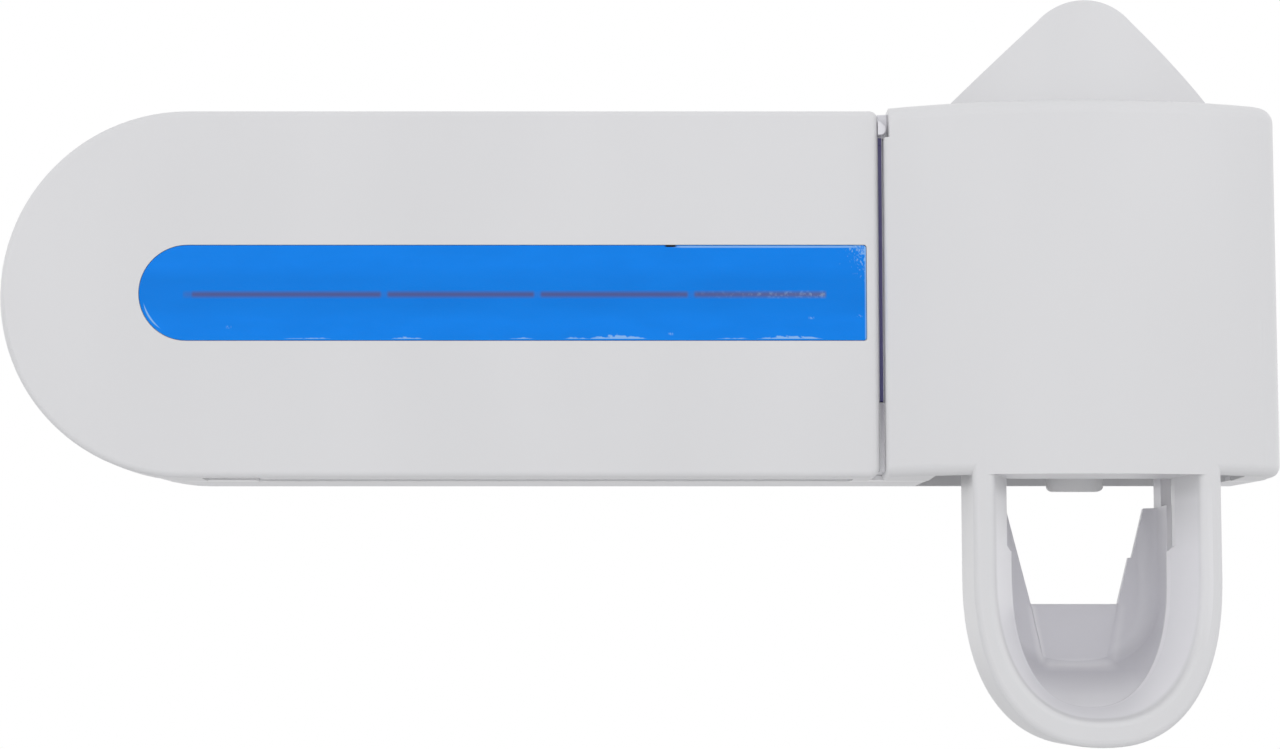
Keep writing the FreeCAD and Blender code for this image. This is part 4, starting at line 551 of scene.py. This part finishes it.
# Pieces of the pump that close up as the lever is pushed, copied as they stand onto the case


def closing(name, node):
    """The node's form copied as a piece of its own on the case, in place of the hidden node."""
    piece = bpy.data.objects.new(name, nodes[node].data.copy())
    piece.matrix_world = nodes[node].matrix_world.copy()
    bpy.context.scene.collection.objects.link(piece)
    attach(piece, "case")
    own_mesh(piece)
    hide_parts(node)


closing("spring_coil", "return_spring")
closing("diaphragm_skin", "diaphragm")


# Small pieces on the case in the gap between the lid and the dispenser cover, most of them standing in for
# the gap's shade. An outline's points are X and Z, and a front or a back is a place along Y.

LID_SIDE = 0.0791
COVER_SIDE = 0.0803
GAP_MIDDLE = (LID_SIDE + COVER_SIDE) / 2
GAP_HALF = 0.00056
EASE = 0.00012
CORE_ACROSS = (0.00038, 0.00010)
CORE_NOISE = 300.0
CORE_NOISE_SHARE = 0.1
CORE_SPREAD = (0.05, 1.0)
STRIP_LIT_EDGE = (0.88, 0.88, 0.90)
STRIP_ROUGHNESS = 0.6


def gap_piece(name, outline, front, back, material):
    """Prism on the case, set back in the gap, with its outline seen from the front and eased there."""
    across = sum(x for x, _ in outline) / len(outline)
    up = sum(z for _, z in outline) / len(outline)
    inner = [(x - math.copysign(EASE, x - across), z - math.copysign(EASE, z - up)) for x, z in outline]
    points = []
    for ring, y in ((outline, back), (outline, front + EASE), (inner, front)):
        points += [(x, y, z) for x, z in ring]
    count = len(outline)
    faces = [tuple(range(count)), tuple(range(2 * count, 3 * count))[::-1]]
    for first in (0, count):
        for number in range(count):
            after = (number + 1) % count
            faces.append((first + number, first + count + number, first + count + after, first + after))
    mesh = bpy.data.meshes.new(name)
    mesh.from_pydata(points, [], faces)
    piece = bpy.data.objects.new(name, mesh)
    bpy.context.scene.collection.objects.link(piece)
    mesh.materials.append(material)
    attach(piece, "case")


def gap_run(foot, head):
    """Outline of a run of the gap between two heights."""
    left, right = GAP_MIDDLE - GAP_HALF, GAP_MIDDLE + GAP_HALF
    return [(left, foot), (right, foot), (right, head), (left, head)]


def gap_shade_paint(name, low, high, heights):
    """White strip with a darker core that changes from its foot to its head: the core is painted shade of
    the deep gap and the white edges are painted light on its sides.
    """
    graph = material_graph(name)
    x, _, z = graph.axes()
    foot, head = heights
    climb = graph.rise(z, foot, 1 / (head - foot))
    climb = graph.plus(climb, graph.times(graph.noise(CORE_NOISE), CORE_NOISE_SHARE))
    core = graph.spread(climb, low, high, *CORE_SPREAD)
    tone = graph.mix_colour(graph.band(x, GAP_MIDDLE, *CORE_ACROSS), STRIP_LIT_EDGE, core)
    return graph.finish(graph.surface(tone, STRIP_ROUGHNESS))


GAP_BACK = -0.0322
STOP_FRONT = -0.0424
STOP_HEIGHTS = (-0.0178, -0.0036)
SHADE_STRIP_FRONT = -0.0414
SHADE_STRIP_HEIGHTS = (-0.0034, 0.0500)
HEAD_BACK = -0.0402
HEAD_HEIGHTS = (0.0500, 0.0516)
KEEPER_FRONT = -0.0440
KEEPER_BACK = -0.0415
PIN_LEFT = LID_SIDE + 0.00008
PLATE_OUTLINE = [(PIN_LEFT, 0.05165), (0.08130, 0.05105), (0.08130, 0.05650), (PIN_LEFT, 0.05640)]
KEEPER_OUTLINE = [(PIN_LEFT, 0.05185), (0.08020, 0.05185), (0.08070, 0.05230), (0.08085, 0.05300),
                  (0.08065, 0.05365), (0.07990, 0.05430), (PIN_LEFT, 0.05480)]

# The violet strip and its head are painted shade deep in the gap, and the stop's grey core, darker higher
# up, is painted shade too.
violet = gap_shade_paint("dark violet painted shade", (0.120, 0.110, 0.29), (0.165, 0.150, 0.32), SHADE_STRIP_HEIGHTS)
grey = gap_shade_paint("grey painted gap shade", (0.74, 0.74, 0.76), (0.43, 0.42, 0.46), STOP_HEIGHTS)
keeper_plastic = moulded("keeper plastic", (0.86, 0.855, 0.89), 0.4)
gap_piece("gap_stop", gap_run(*STOP_HEIGHTS), STOP_FRONT, GAP_BACK, grey)
gap_piece("gap_shade_strip", gap_run(*SHADE_STRIP_HEIGHTS), SHADE_STRIP_FRONT, GAP_BACK, violet)
gap_piece("shade_strip_head", gap_run(*HEAD_HEIGHTS), SHADE_STRIP_FRONT, HEAD_BACK, violet)
gap_piece("pin_plate", PLATE_OUTLINE, SHADE_STRIP_FRONT, HEAD_BACK, keeper_plastic)
gap_piece("pin_keeper", KEEPER_OUTLINE, KEEPER_FRONT, KEEPER_BACK, keeper_plastic)


# Floor, light and camera

FLOOR_SIZE = 2.4
FLOOR_PLACE = (0.03, 0.1, -0.16)
FLOOR_NOISE = (3.0, 4.0)
FLOOR_TONES = ((0.80, 0.80, 0.80), (0.83, 0.83, 0.83))
FLOOR_ROUGHNESS = 0.7
FLOOR_GLOW = 0.20
SOFTBOXES = {"front left": (-0.55, -1.05, 0.45), "front right": (0.70, -1.00, 0.40)}
SOFTBOX_TARGET = (0.03, -0.03, 0.02)
SOFTBOX_SIZE = 0.8
SOFTBOX_POWER = 0.7
ROOM_TINT = (0.985, 0.985, 1.0)
ROOM_GLOW = 0.62
ROOM_FRONT_GLOW = 0.55
ROOM_FRONT_POWER = 4.0
ROOM_SIDE_GLOW = 0.45
SENSOR_WIDTH = 36.0
LENS = 85.05
EYE = (0.030, -0.66093, -0.05958)
EYE_TILT = 5.7


def floor():
    """Pale floor below the part, a little brighter where the camera sees it."""
    bpy.ops.mesh.primitive_plane_add(size=FLOOR_SIZE, location=FLOOR_PLACE)
    plane = bpy.context.object
    plane.name = "floor"
    graph = material_graph("pale floor")
    tone = graph.spread(graph.noise(*FLOOR_NOISE), *FLOOR_TONES)
    seen = graph.add("ShaderNodeLightPath").outputs["Is Camera Ray"]
    glow = graph.add("ShaderNodeEmission")
    graph.feed(graph.times(seen, FLOOR_GLOW), glow.inputs["Strength"])
    both = graph.add("ShaderNodeAddShader")
    graph.feed(graph.surface(tone, FLOOR_ROUGHNESS), both.inputs[0])
    graph.feed(glow.outputs[0], both.inputs[1])
    plane.data.materials.append(graph.finish(both.outputs[0]))


def background(graph, colour, strength):
    """The world's light in one colour."""
    node = graph.add("ShaderNodeBackground")
    graph.feed(colour, node.inputs["Color"])
    graph.feed(strength, node.inputs["Strength"])
    return node.outputs[0]


def surroundings():
    """Bright room, lighter in front and at the sides, that is seen and mirrored as plain white."""
    world = bpy.data.worlds.new("studio")
    bpy.context.scene.world = world
    graph = Graph(world, "ShaderNodeOutputWorld")
    x, y, _ = graph.axes("Generated")
    facing = graph.math("MULTIPLY", y, -1.0, True)
    front = graph.times(graph.math("POWER", facing, ROOM_FRONT_POWER), ROOM_FRONT_GLOW)
    sides = graph.times(x, x, ROOM_SIDE_GLOW)
    room = background(graph, ROOM_TINT, graph.plus(graph.plus(front, sides), ROOM_GLOW))
    white = background(graph, (1, 1, 1), 1.0)
    path = graph.add("ShaderNodeLightPath").outputs
    plain = graph.most(path["Is Camera Ray"], path["Is Glossy Ray"], path["Is Transmission Ray"])
    mix = graph.add("ShaderNodeMixShader")
    for value, socket in zip((plain, room, white), mix.inputs):
        graph.feed(value, socket)
    graph.finish(mix.outputs[0])


def softbox(name, place):
    """Square area light aimed at the part."""
    data = bpy.data.lights.new(name, "AREA")
    data.shape = "RECTANGLE"
    data.size = data.size_y = SOFTBOX_SIZE
    data.energy = SOFTBOX_POWER
    lamp = bpy.data.objects.new(name, data)
    lamp.location = place
    lamp.rotation_euler = (Vector(SOFTBOX_TARGET) - Vector(place)).to_track_quat("-Z", "Y").to_euler()
    bpy.context.scene.collection.objects.link(lamp)


def camera():
    """The photograph's camera: in front, a little below the part and tilted up."""
    data = bpy.data.cameras.new("camera")
    data.sensor_width = SENSOR_WIDTH
    data.lens = LENS
    eye = bpy.data.objects.new("camera", data)
    eye.location = EYE
    eye.rotation_euler = (math.radians(90 + EYE_TILT), 0, 0)
    bpy.context.scene.collection.objects.link(eye)
    bpy.context.scene.camera = eye


floor()
surroundings()
for name, place in SOFTBOXES.items():
    softbox(name, place)
camera()
bpy.context.scene.view_settings.view_transform = "Standard"
